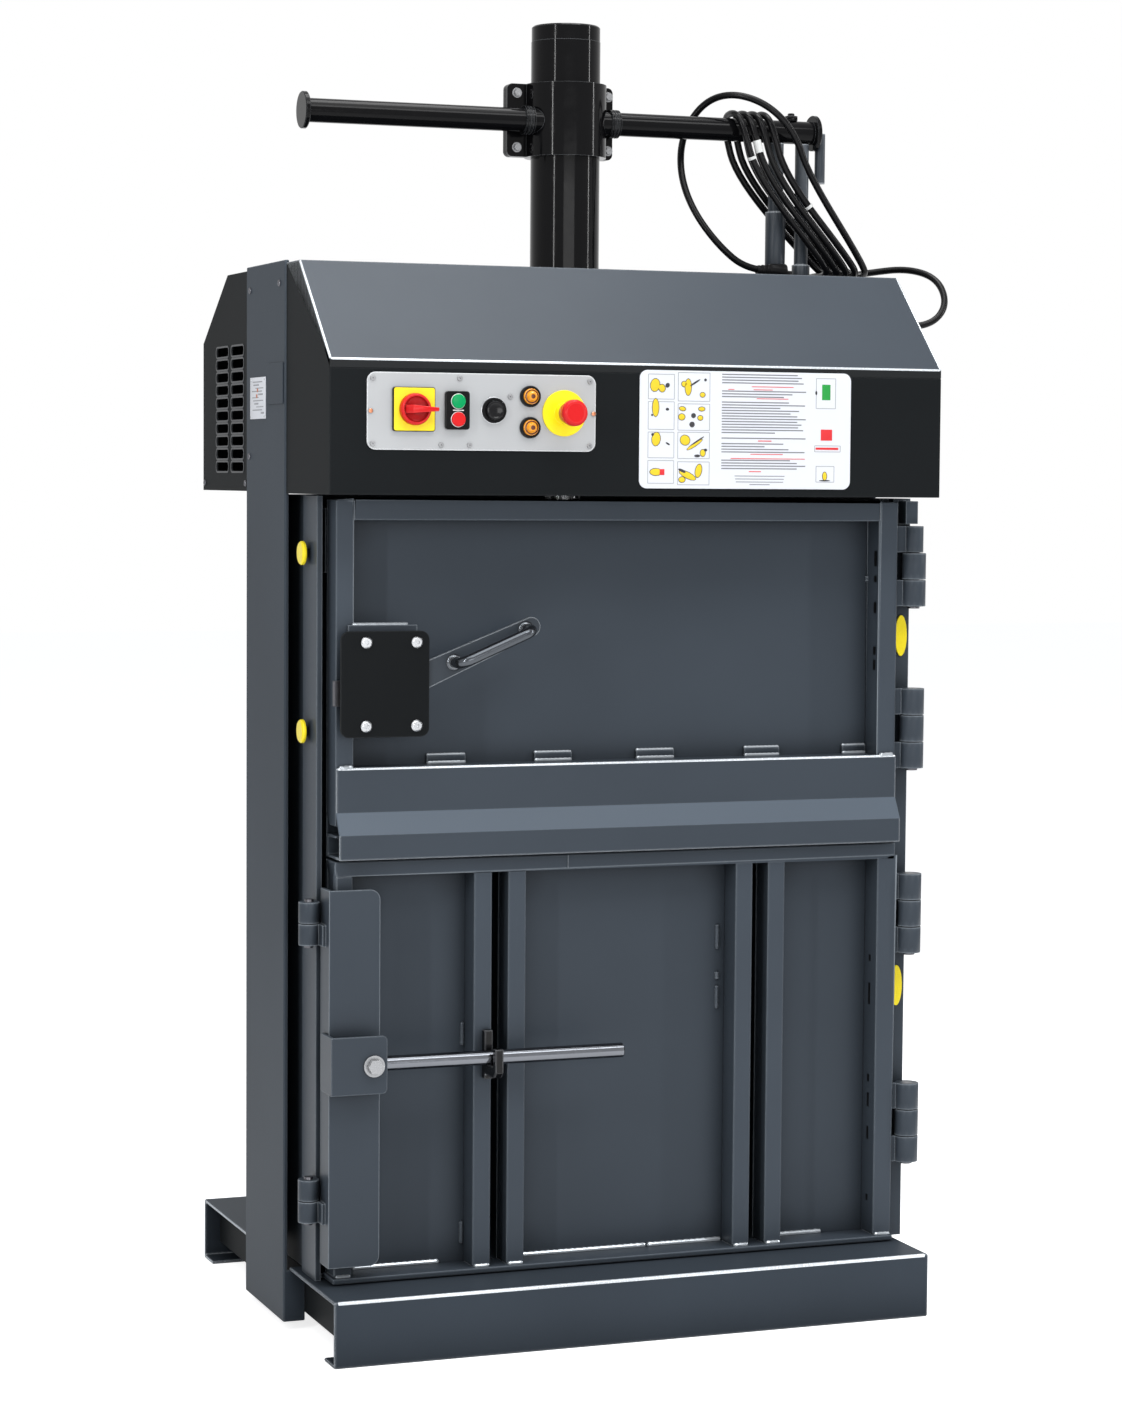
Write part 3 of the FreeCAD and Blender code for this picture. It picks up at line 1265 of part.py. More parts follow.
def lock_bolt():
    """The sliding bolt plate, with an upright slot for the lever's crank pin."""
    back = LOCK_BASE_FACE - BOLT_CLEARANCE
    y = (back - BOLT_THICK, back)
    pin_x, pin_z = crank_pin()
    inner_end = LEVER_PIVOT_X - SHAFT_R - bolt_travel() - BOLT_CLEARANCE
    shank_z = (LEVER_PIVOT_Z - BOLT_HEIGHT / 2, LEVER_PIVOT_Z + BOLT_HEIGHT / 2)
    shank = box((DOOR_LEFT - BOLT_NOSE, inner_end), y, shank_z)
    wall = 2 * CRANK_PIN_R
    top = LEVER_PIVOT_Z + CRANK + CRANK_PIN_R + wall
    link_z = (LEVER_PIVOT_Z + SHAFT_R + BOLT_CLEARANCE, top)
    link = box((inner_end - wall, pin_x + wall + CRANK_PIN_R), y, link_z)
    gap = CRANK_PIN_R + SLOT_CLEARANCE
    slot = box((pin_x - gap, pin_x + gap), y, (pin_z - gap, LEVER_PIVOT_Z + CRANK + gap))
    return join([shank, link]).cut(slot)


# ================================================================= control panel
def control_plate():
    """The light plate that carries the controls."""
    return plate((PANEL_LEFT, PANEL_RIGHT), (PANEL_BOTTOM, PANEL_TOP), (PANEL_FACE, HOOD_FRONT), PANEL_CORNER)


def switch_plate_z():
    """The Z range of the main switch's yellow plate."""
    return (SWITCH_Z - SWITCH_PLATE / 2, SWITCH_Z + SWITCH_PLATE / 2)


def yellow_bases():
    """The main switch's square plate and the stop button's round one."""
    face = PANEL_FACE
    x = (SWITCH_X - SWITCH_PLATE / 2, SWITCH_X + SWITCH_PLATE / 2)
    square = plate(x, switch_plate_z(), (face - SWITCH_PLATE_THICK, face), SWITCH_PLATE_CORNER)
    disc = rod(V(STOP_X, face - STOP_DISC, STOP_Z), V(STOP_X, face, STOP_Z), STOP_DISC_R)
    collar = ring(
        V(STOP_X, face - STOP_COLLAR, STOP_Z),
        V(STOP_X, face - STOP_DISC, STOP_Z),
        STOP_COLLAR_R,
        STOP_STEM_R + SLIDE,
    )
    return group([square, join([disc, collar])])


def switch_knob():
    """The main switch's round red knob, with its bar grip."""
    back = PANEL_FACE - SWITCH_PLATE_THICK
    middle = back - SWITCH_DISC
    disc = across((SWITCH_X, SWITCH_Z), middle, back, SWITCH_KNOB_R)
    x = (SWITCH_X - SWITCH_KNOB_R + SWITCH_GRIP_SHORT, SWITCH_X + SWITCH_KNOB_R + SWITCH_GRIP_LONG)
    z = (SWITCH_Z - SWITCH_GRIP / 2, SWITCH_Z + SWITCH_GRIP / 2)
    grip = plate(x, z, (back - SWITCH_KNOB_DEPTH, middle), SWITCH_GRIP_CORNER)
    return join([disc, grip])


def button_block():
    """The double button's black housing and the black button's chromed bezel."""
    face = PANEL_FACE
    x = (BLOCK_X - BLOCK_WIDTH / 2, BLOCK_X + BLOCK_WIDTH / 2)
    middle = (BUTTON_Z_GREEN + BUTTON_Z_RED) / 2
    z = (middle - BLOCK_HEIGHT / 2, middle + BLOCK_HEIGHT / 2)
    block = plate(x, z, (face - BLOCK_THICK, face), BLOCK_CORNER)
    for height in (BUTTON_Z_GREEN, BUTTON_Z_RED):
        well = rod(V(BLOCK_X, face - BLOCK_THICK, height), V(BLOCK_X, face, height), BUTTON_R + SLIDE)
        block = block.cut(well)
    start = (START_X, SWITCH_Z)
    bezel = across(start, face - START_BEZEL, face, START_BEZEL_R)
    return group([block, bezel.cut(across(start, face - START_BEZEL, face, START_R + SLIDE))])


def round_button(x, z, radius, out):
    """A round push button whose face stands out of the panel, with room to travel."""
    face = PANEL_FACE
    button = across((x, z), face - out, face - BUTTON_TRAVEL - SLIDE, radius)
    return button.makeChamfer(BUTTON_EDGE, front_rim(button))


def front_rim(shape):
    """The round edges at a piece's front."""
    front = shape.BoundBox.YMin + 0.01
    return [e for e in shape.Edges if isinstance(e.Curve, Part.Circle) and e.CenterOfMass.y < front]


def green_button():
    """The green start button."""
    return round_button(BLOCK_X, BUTTON_Z_GREEN, BUTTON_R, BLOCK_THICK + BUTTON_OUT)


def red_button():
    """The red stop button."""
    return round_button(BLOCK_X, BUTTON_Z_RED, BUTTON_R, BLOCK_THICK + BUTTON_OUT)


def black_button():
    """The black push button."""
    return round_button(START_X, SWITCH_Z, START_R, START_OUT)


def panel_lamps():
    """The two amber lamps, each a blunt cone in a round bezel."""
    face = PANEL_FACE
    lamps = []
    for z in LAMP_ZS:
        bezel = across((LAMP_X, z), face - LAMP_BEZEL, face, LAMP_BEZEL_R)
        root = V(LAMP_X, face - LAMP_BEZEL, z)
        lens = Part.makeCone(LAMP_LENS_R, LAMP_TIP_R, LAMP_OUT - LAMP_BEZEL, root, -Y_AXIS)
        lamps.append(join([bezel, lens]))
    return group(lamps)


def stop_button():
    """The red mushroom head on its stem."""
    face = PANEL_FACE
    front = face - STOP_OUT
    root = front + STOP_CAP
    cap = across((STOP_X, STOP_Z), front, root, STOP_R)
    cap = cap.makeFillet(STOP_EDGE, front_rim(cap))
    stem = across((STOP_X, STOP_Z), root, face - STOP_DISC - STOP_TRAVEL - SLIDE, STOP_STEM_R)
    return join([cap, stem])


def panel_screws():
    """The small screws of the control plate."""
    face = PANEL_FACE
    places = [(PANEL_LEFT + x, PANEL_BOTTOM + z) for x, z in PANEL_SCREWS]
    return group([across(place, face - PANEL_SCREW_OUT, face, PANEL_SCREW_R) for place in places])


def notice_plates():
    """The blank instruction plate on the hood and the small plate on the column."""
    y = (HOOD_FRONT - NOTICE_THICK, HOOD_FRONT)
    large = plate((NOTICE_LEFT, NOTICE_RIGHT), (NOTICE_BOTTOM, NOTICE_TOP), y, NOTICE_CORNER)
    small = box((-BODY_HALF - NOTICE_THICK, -BODY_HALF), SIDE_PLATE_Y, SIDE_PLATE_Z)
    return group([large, small])


def marker_caps():
    """The yellow caps on the left post and the oval ones on the hinge post."""
    face = -LEFT_POST_FACE
    pieces = []
    for z in CAP_HEIGHTS:
        stem = rod(V(face, CAP_Y, z), V(face - CAP_STEM, CAP_Y, z), CAP_STEM_R)
        disc = rod(V(face - CAP_STEM, CAP_Y, z), V(face - CAP_STEM - CAP_DISC, CAP_Y, z), CAP_DISC_R)
        outer = face - CAP_STEM - CAP_DISC
        rim = [e for e in disc.Edges if isinstance(e.Curve, Part.Circle) and e.CenterOfMass.x < outer + 0.01]
        pieces.append(join([stem, disc.makeChamfer(CAP_DISC_EDGE, rim)]))
    x = (WALL_OUTER + DOOR_REBATE + RIGHT_POST_OUTER) / 2
    for z in OVAL_HEIGHTS:
        oval = Part.Ellipse(V(x, POST_FRONT, z), OVAL_HALF_HEIGHT, OVAL_HALF_WIDTH)
        oval.Axis = Y_AXIS
        oval.XAxis = Z_AXIS
        face_shape = Part.Face(Part.Wire([oval.toShape()]))
        pieces.append(face_shape.extrude(V(0, -OVAL_THICK, 0)))
    return group(pieces)


def bright_bolts():
    """The bright bolts of the clamp's ears, the stand's flange and the lower latch."""
    pieces = [latch_bolt()]
    ear_y = CLAMP_SPLIT_Y - CLAMP_SPLIT / 2 - CLAMP_EAR_THICK
    face = ear_y - CLAMP_WASHER
    for x in (-CLAMP_R - CLAMP_EAR / 2, CLAMP_R + CLAMP_SHORT_EAR / 2):
        for z in (CLAMP_BOTTOM + CLAMP_BOLT_INSET, CLAMP_TOP - CLAMP_BOLT_INSET):
            washer = across((x, z), face, ear_y, CLAMP_BOLT_R + CLAMP_SPLIT)
            pieces.append(join([washer, hexagon(V(x, face, z), CLAMP_BOLT_R, -CLAMP_BOLT_R)]))
    top = HOOD_TOP + STAND_FLANGE
    for side in (-1, 1):
        x = FLANGED_STAND_X + side * STAND_BOLT_SPACING / 2
        pieces.append(rod(V(x, REEL_BAR_Y, top), V(x, REEL_BAR_Y, top + STAND_BOLT_R), STAND_BOLT_R))
    return group(pieces)


# ========================================================================= cable
def corner_turn(points, n):
    """The angle that a route turns through at one of its inner points."""
    return (points[n] - points[n - 1]).getAngle(points[n + 1] - points[n])


def free_bends(points):
    """Arc radii that use most of the shorter run beside each inner point."""
    bends = []
    for n in range(1, len(points) - 1):
        shorter = min((points[n] - points[n - 1]).Length, (points[n + 1] - points[n]).Length)
        bends.append(0.45 * shorter / math.tan(corner_turn(points, n) / 2))
    return bends


def tube_path(points, bends):
    """The middle line of a route: straight runs that tangent arcs join."""
    edges = []
    at = points[0]
    for n, bend in enumerate(bends, 1):
        corner = points[n]
        into = V(corner - points[n - 1]).normalize()
        out = V(points[n + 1] - corner).normalize()
        half_turn = corner_turn(points, n) / 2
        reach = bend * math.tan(half_turn)
        inward = V(out - into).normalize()
        middle = corner + inward * (bend / math.cos(half_turn) - bend)
        first = corner - into * reach
        last = corner + out * reach
        edges.append(Part.LineSegment(at, first).toShape())
        edges.append(Part.Arc(first, middle, last).toShape())
        at = last
    edges.append(Part.LineSegment(at, points[-1]).toShape())
    return Part.Wire(edges)


def tube(points, radius, bends):
    """A round bar along a route."""
    circle = Part.Circle(points[0], points[1] - points[0], radius)
    section = Part.Wire([circle.toShape()])
    return tube_path(points, bends).makePipeShell([section], True, False)


def route_length(points, bends):
    """The length of a route's straight runs and arcs."""
    total = sum((b - a).Length for a, b in zip(points, points[1:]))
    for n, bend in enumerate(bends, 1):
        turn = corner_turn(points, n)
        total += bend * turn - 2 * bend * math.tan(turn / 2)
    return total


def gland_mouth():
    """Where the cable leaves the gland on the hood's top."""
    return V(GLAND_X - GLAND_REACH, GLAND_Y, HOOD_TOP + GLAND_RISE)


def end_gland_mouth():
    """Where the cable enters the gland on the right column."""
    return V(BODY_HALF + GLAND_REACH, END_GLAND_Y, END_GLAND_Z)


def cable_glands():
    """The elbow gland on the hood and the straight one on the right column."""
    mouth = gland_mouth()
    foot = rod(V(GLAND_X, GLAND_Y, HOOD_TOP), V(GLAND_X, GLAND_Y, mouth.z), GLAND_R)
    nose = rod(V(GLAND_X, GLAND_Y, mouth.z), mouth, GLAND_R)
    elbow = join([foot.cut(nose), nose])
    end = end_gland_mouth()
    root = V(BODY_HALF, END_GLAND_Y, END_GLAND_Z)
    straight = rod(root, end, GLAND_R)
    nut = rod(root, root + V(GLAND_R, 0, 0), GLAND_NUT_R)
    return group([elbow, join([straight, nut])])


def beside_bar(offsets):
    """Points given by their X from the right bar's end, Y, and height over the hood."""
    return [V(RIGHT_BAR_END + x, y, HOOD_TOP + z) for x, y, z in offsets]


def free_start_points():
    """The cable's route from the hood's gland, up behind the bar and over it."""
    offsets = [
        (-118, -48, 13),
        (-162, -44, 47),
        (-194, -22, 99),
        (-202, 6, 155),
        (-190, 24, 211),
        (-166, 4, 255),
        (-138, -38, 265),
        (-96, -68, 247),
        (-56, -74, 207),
        (-32, -66, 151),
    ]
    return [gland_mouth()] + beside_bar(offsets) + [hank_points()[0]]


def hank_points():
    """The corners of the hank that hangs over the right reel bar.

    It starts on the rightmost front leg. Each loop crosses to the back near the
    hood's top, rises behind, crosses over the bar and comes down in front, one
    pitch further left. The legs lean to the right below their knees.
    """
    top = REEL_BAR_Z + REEL_BAR_R + CABLE_R + HANK_REST
    foot = COLUMN_TOP + CABLE_R + HANK_REST
    front = REEL_BAR_Y - HANK_HALF_WIDTH
    back = REEL_BAR_Y + HANK_HALF_WIDTH
    first = HANK_FOOT_X + (HANK_LOOPS - 1) * HANK_PITCH
    knee = beside_bar([(-32, -66, 151)])[0]
    ankle = V(first, front, foot)
    points = [knee + (ankle - knee) * HANK_START_SHARE]
    for n in range(HANK_LOOPS):
        x_foot = first - n * HANK_PITCH
        points.append(V(x_foot, front, foot))
        if n < HANK_LOOPS - 1:
            x_top = HANK_TOP_X - n * HANK_PITCH
            x_knee = x_top + HANK_KNEE_LEAN
            points.append(V(x_foot, back, foot))
            points.append(V(x_knee, back, HANK_KNEE_Z))
            points.append(V(x_top, back, top))
            points.append(V(x_top, front, top))
            points.append(V(x_knee, front, HANK_KNEE_Z))
    points.append(V(HANK_FOOT_X, REEL_BAR_Y + CABLE_R, foot))
    return points


def hank_bends():
    """Quarter turns at the hank's tops and feet, and wide bends at its knees."""
    points = hank_points()
    quarter = 0.45 * 2 * HANK_HALF_WIDTH
    bends = []
    for n in range(1, len(points) - 1):
        is_knee = corner_turn(points, n) < math.radians(60)
        bends.append(HANK_KNEE_BEND if is_knee else quarter)
    return bends


def free_end_points():
    """The cable's route from the hank round the hood's end to the side gland."""
    foot = hank_points()[-1]
    offsets = [
        (14, 28, 10),
        (33, 63, 10),
        (72, 75, 11),
        (124, 58, 21),
        (169, 18, 27),
        (194, -32, 11),
        (195, -64, -27),
        (170, -74, -57),
        (128, -68, -65),
    ]
    return [foot] + beside_bar(offsets) + [end_gland_mouth()]


def least_gap(points, bends, step=4.0):
    """The least gap between the tube's surface and itself, away from its own bends."""
    line = tube_path(points, bends).discretize(Distance=step)
    skip = int(math.pi * HANK_HALF_WIDTH / step)
    nearest = min((a - b).Length for n, a in enumerate(line) for b in line[n + skip:])
    return nearest - 2 * CABLE_R


def cable_free_start():
    """The cable from the hood's gland to the hank."""
    return cable_piece("cable_free_start", free_start_points(), None)


def cable_hank():
    """The hank's loops, as one unbroken tube."""
    return cable_piece("cable_hank", hank_points(), hank_bends())


def cable_free_end():
    """The cable from the hank to the gland on the right column."""
    return cable_piece("cable_free_end", free_end_points(), None)


def cable_piece(name, points, bends):
    """One stretch of the cable, with its length, tightest bend, gap and volume printed."""
    if bends is None:
        bends = free_bends(points)
    shape = tube(points, CABLE_R, bends)
    length = route_length(points, bends)
    filled = shape.Volume / (math.pi * CABLE_R ** 2 * length)
    gap = least_gap(points, bends)
    print(f"{name}: length {length:.0f}, least radius {min(bends):.1f}, gap {gap:.2f}, volume {filled:.3f}")
    return shape


SOLIDS = {
    "base_beams": base_beams,
    "side_sills": side_sills,
    "side_columns": side_columns,
    "side_walls": side_walls,
    "back_wall": back_wall,
    "chamber_floor": chamber_floor,
    "front_posts": front_posts,
    "head_crossbeam": head_crossbeam,
    "hood_lid": hood_lid,
    "hood_front_panel": hood_front_panel,
    "hood_ends": hood_ends,
    "power_box_shell": power_box_shell,
    "power_box_ends": power_box_ends,
    "oil_tank": oil_tank,
    "pump_motor": pump_motor,
    "hydraulic_pump": hydraulic_pump,
    "pressure_pipe": pressure_pipe,
    "cylinder_barrel": cylinder_barrel,
    "cylinder_cap": cylinder_cap,
    "bar_clamp": bar_clamp,
    "bright_bolts": bright_bolts,
    "reel_bars": reel_bars,
    "bar_stands": bar_stands,
    "piston_rod": piston_rod,
    "press_platen": press_platen,
    "upper_door_frame": upper_door_frame,
    "upper_door_skin": upper_door_skin,
    "upper_door_ledge": upper_door_ledge,
    "upper_door_hinge_leaves": lambda: door_leaves(HINGE_HEIGHTS[:UPPER_HINGES], UPPER_RIGHT),
    "lower_door_frame": lower_door_frame,
    "lower_door_skins": lower_door_skins,
    "lower_door_hinge_leaves": lambda: door_leaves(HINGE_HEIGHTS[UPPER_HINGES:], LOWER_RIGHT),
    "frame_knuckles": frame_knuckles,
    "hinge_pins": hinge_pins,
    "latch_plate": latch_plate,
    "latch_bracket": latch_bracket,
    "lift_rod": lift_rod,
    "rod_hook": rod_hook,
    "lock_base": lock_base,
    "lock_cover": lock_cover,
    "lock_screws": lock_screws,
    "lock_lever": lock_lever,
    "lever_handle": lever_handle,
    "lock_bolt": lock_bolt,
    "control_plate": control_plate,
    "yellow_bases": yellow_bases,
    "switch_knob": switch_knob,
    "button_block": button_block,
    "green_button": green_button,
    "red_button": red_button,
    "black_button": black_button,
    "panel_lamps": panel_lamps,
    "stop_button": stop_button,
    "panel_screws": panel_screws,
    "notice_plates": notice_plates,
    "marker_caps": marker_caps,
    "cable_glands": cable_glands,
    "cable_free_start": cable_free_start,
    "cable_hank": cable_hank,
    "cable_free_end": cable_free_end,
}


def main():
    """Builds each node and writes it as a STEP file."""
    os.makedirs("parts", exist_ok=True)
    for name, build in SOLIDS.items():
        shape = build()
        print(name, len(shape.Solids), round(shape.Volume), shape.isValid())
        shape.exportStep("parts/" + name + ".step")


main()
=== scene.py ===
"""Looks of a small upright recycling baler, around its fixed frame. Metres, +Z up."""
import json
import math
from contextlib import contextmanager

import bmesh
import bpy
from mathutils import Matrix, Vector


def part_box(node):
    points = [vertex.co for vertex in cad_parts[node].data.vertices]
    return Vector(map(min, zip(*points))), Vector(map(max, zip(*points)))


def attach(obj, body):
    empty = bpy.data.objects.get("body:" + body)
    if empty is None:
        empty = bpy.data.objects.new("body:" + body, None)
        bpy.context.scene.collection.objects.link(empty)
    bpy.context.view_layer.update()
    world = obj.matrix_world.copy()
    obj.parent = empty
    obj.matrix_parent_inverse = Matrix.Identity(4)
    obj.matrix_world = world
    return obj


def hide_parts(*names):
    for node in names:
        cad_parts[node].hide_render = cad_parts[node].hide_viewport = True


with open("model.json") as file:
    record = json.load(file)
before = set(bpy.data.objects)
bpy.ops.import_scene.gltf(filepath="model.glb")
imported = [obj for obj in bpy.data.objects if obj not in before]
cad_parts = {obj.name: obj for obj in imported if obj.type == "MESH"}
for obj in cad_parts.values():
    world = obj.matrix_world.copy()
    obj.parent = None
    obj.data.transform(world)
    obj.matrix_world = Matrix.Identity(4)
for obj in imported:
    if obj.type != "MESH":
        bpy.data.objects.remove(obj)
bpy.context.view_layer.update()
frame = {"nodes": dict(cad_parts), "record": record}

bl_info = {
    "name": "Recycling baler looks",
    "version": (1, 0, 0),
    "blender": (4, 5, 0),
    "location": "3D View > Sidebar > Baler",
    "description": "Finishes, trim, cable and stage for a small upright baler",
    "category": "Object",
}


# ---- properties ----
class BalerPaint(bpy.types.PropertyGroup):
    """Colours of the machine's finishes."""

    body: bpy.props.FloatVectorProperty(
        name="Body", description="Powder coat of the body", subtype="COLOR", default=(0.041, 0.051, 0.064)
    )
    dark: bpy.props.FloatVectorProperty(
        name="Dark", description="Powder coat of the hood's front and ends", subtype="COLOR",
        default=(0.0113, 0.0127, 0.0138),
    )
    gloss: bpy.props.FloatVectorProperty(
        name="Gloss black", description="Lacquer of the cylinder and the bars", subtype="COLOR",
        default=(0.0035, 0.0035, 0.004),
    )
    yellow: bpy.props.FloatVectorProperty(
        name="Yellow", description="Yellow plastic", subtype="COLOR", default=(0.90, 0.72, 0.01)
    )
    red: bpy.props.FloatVectorProperty(
        name="Red", description="Red plastic", subtype="COLOR", default=(0.62, 0.012, 0.014)
    )
    green: bpy.props.FloatVectorProperty(
        name="Green", description="Green plastic", subtype="COLOR", default=(0.0, 0.30, 0.09)
    )
    amber: bpy.props.FloatVectorProperty(
        name="Amber", description="Lamp lens", subtype="COLOR", default=(0.80, 0.30, 0.012)
    )


class BalerSizes(bpy.types.PropertyGroup):
    """Sizes that a user would change."""

    cable: bpy.props.FloatProperty(name="Cable", description="Cable diameter", unit="LENGTH", default=0.010)
    edge: bpy.props.FloatProperty(
        name="Edge", description="Rounding of the edges that aren't bent", unit="LENGTH", default=0.0007
    )


def sizes():
    """The size settings of this scene."""
    return bpy.context.scene.baler_sizes


# ---- materials ----
MATERIALS = {}

# Colours of the painted highlights along sharp edges
DULL_EDGE_HIGHLIGHT = (0.24, 0.27, 0.30)  # dim painted highlight along the grey paint's edges
BRIGHT_EDGE_HIGHLIGHT = (0.62, 0.66, 0.70)  # bright painted highlight along the grey paint's edges
DARK_EDGE_HIGHLIGHT = (0.05, 0.053, 0.056)
PLATE_WHITE = (0.69, 0.71, 0.755)
DRIFT_SCALE, DRIFT_DETAIL = 3.0, 5.0  # the colour's slow drift
GRAIN_DETAIL, GRAIN_DEPTH = 2.0, 0.0002  # the fine grain, and its relief in metres
GLOSSIER, DULLER = 0.04, 0.05  # how far the grain moves the roughness down and up
CORNER_SHADE = 0.12  # the share of the colour that the painted shade leaves in a closed corner
LOOK_SAMPLES = 6  # rays for each look round an edge or into a corner


def new_material(name):
    """A new material, its node tree and its shader."""
    material = bpy.data.materials.new(name)
    material.use_nodes = True
    tree = material.node_tree
    return material, tree, tree.nodes["Principled BSDF"]


def own_place(tree):
    """The place on the piece, in its own metres."""
    return tree.nodes.new("ShaderNodeTexCoord").outputs["Object"]


def noise(tree, scale, detail):
    """Noise in the piece's own metres."""
    node = tree.nodes.new("ShaderNodeTexNoise")
    node.inputs["Scale"].default_value = scale
    node.inputs["Detail"].default_value = detail
    tree.links.new(own_place(tree), node.inputs["Vector"])
    return node.outputs["Fac"]


def ramp(tree, factor, low, high):
    """Turns the middle range of a factor into a colour between two."""
    node = tree.nodes.new("ShaderNodeValToRGB")
    for stop, position, colour in zip(node.color_ramp.elements, (0.3, 0.7), (low, high)):
        stop.position = position
        stop.color = (*colour, 1.0)
    tree.links.new(factor, node.inputs["Fac"])
    return node.outputs["Color"]


def remapped(tree, value, start, end, top=1.0):
    """A value turned into a factor, from 0 at its start to the top at its end."""
    node = tree.nodes.new("ShaderNodeMapRange")
    node.inputs["From Min"].default_value = start
    node.inputs["From Max"].default_value = end
    node.inputs["To Max"].default_value = top
    tree.links.new(value, node.inputs["Value"])
    return node.outputs["Result"]


def maths(tree, operation, *values):
    """One step of arithmetic on sockets and plain numbers."""
    node = tree.nodes.new("ShaderNodeMath")
    node.operation = operation
    for socket, value in zip(node.inputs, values):
        if isinstance(value, float):
            socket.default_value = value
        else:
            tree.links.new(value, socket)
    return node.outputs[0]


def bump(tree, shader, height, strength):
    """Adds a fine relief to the shader."""
    node = tree.nodes.new("ShaderNodeBump")
    node.inputs["Strength"].default_value = strength
    node.inputs["Distance"].default_value = GRAIN_DEPTH
    tree.links.new(height, node.inputs["Height"])
    tree.links.new(node.outputs["Normal"], shader.inputs["Normal"])


def shaded(colour, factor):
    """A colour made lighter or darker."""
    return tuple(min(1.0, c * factor) for c in colour)


def mixed(tree, factor, first, second):
    """A plain colour laid over another by a mask."""
    node = tree.nodes.new("ShaderNodeMixRGB")
    tree.links.new(factor, node.inputs["Fac"])
    tree.links.new(first, node.inputs["Color1"])
    node.inputs["Color2"].default_value = (*second, 1.0)
    return node.outputs["Color"]


def edge_mask(tree, radius):
    """White along sharp edges, black on flat faces: where the painted edge highlights go."""
    rounded = tree.nodes.new("ShaderNodeBevel")
    rounded.samples = LOOK_SAMPLES
    rounded.inputs["Radius"].default_value = radius
    flat = tree.nodes.new("ShaderNodeNewGeometry")
    dot = tree.nodes.new("ShaderNodeVectorMath")
    dot.operation = "DOT_PRODUCT"
    tree.links.new(rounded.outputs["Normal"], dot.inputs[0])
    tree.links.new(flat.outputs["True Normal"], dot.inputs[1])
    return remapped(tree, dot.outputs["Value"], 0.985, 0.80)


def corner_shade_mask(tree, shade_reach):
    """White in corners and under overhangs, where the colour is darkened as painted shade."""
    node = tree.nodes.new("ShaderNodeAmbientOcclusion")
    node.samples = LOOK_SAMPLES
    node.inputs["Distance"].default_value = shade_reach
    return remapped(tree, node.outputs["AO"], 0.85, 0.25, 0.75)


def between(tree, axis, low, high):
    """White where the piece's own X, Y or Z lies between two values in metres."""
    split = tree.nodes.new("ShaderNodeSeparateXYZ")
    tree.links.new(own_place(tree), split.inputs["Vector"])
    return maths(tree, "COMPARE", split.outputs[axis], (low + high) / 2, (high - low) / 2)


def coat(
    slot, colour, roughness, name=None, grain=900, relief=0.12, metallic=0.0, spread=0.08,
    gloss=0.5, edge_highlight=None, radius=0.0022, shade_reach=0.0, field=None,
):
    """Adds a finish with slow colour drift, fine grain, uneven gloss, painted shade in corners and painted
    highlights along edges.
    """
    material, tree, shader = new_material(name or slot)
    drift = noise(tree, DRIFT_SCALE, DRIFT_DETAIL)
    tint = ramp(tree, drift, shaded(colour, 1 - spread), shaded(colour, 1 + spread))
    # corners and overhangs are darkened: painted shade
    if shade_reach:
        tint = mixed(tree, corner_shade_mask(tree, shade_reach), tint, shaded(colour, CORNER_SHADE))
    # sharp edges are lightened: painted highlight
    if edge_highlight:
        tint = mixed(tree, edge_mask(tree, radius), tint, edge_highlight)
    if field:
        *band, other = field
        tint = mixed(tree, between(tree, *band), tint, other)
    tree.links.new(tint, shader.inputs["Base Color"])
    fine = noise(tree, grain, GRAIN_DETAIL)
    low, high = (roughness - GLOSSIER,) * 3, (roughness + DULLER,) * 3
    tree.links.new(ramp(tree, fine, low, high), shader.inputs["Roughness"])
    bump(tree, shader, fine, relief)
    shader.inputs["Specular IOR Level"].default_value = gloss
    shader.inputs["Metallic"].default_value = metallic
    MATERIALS[slot] = material


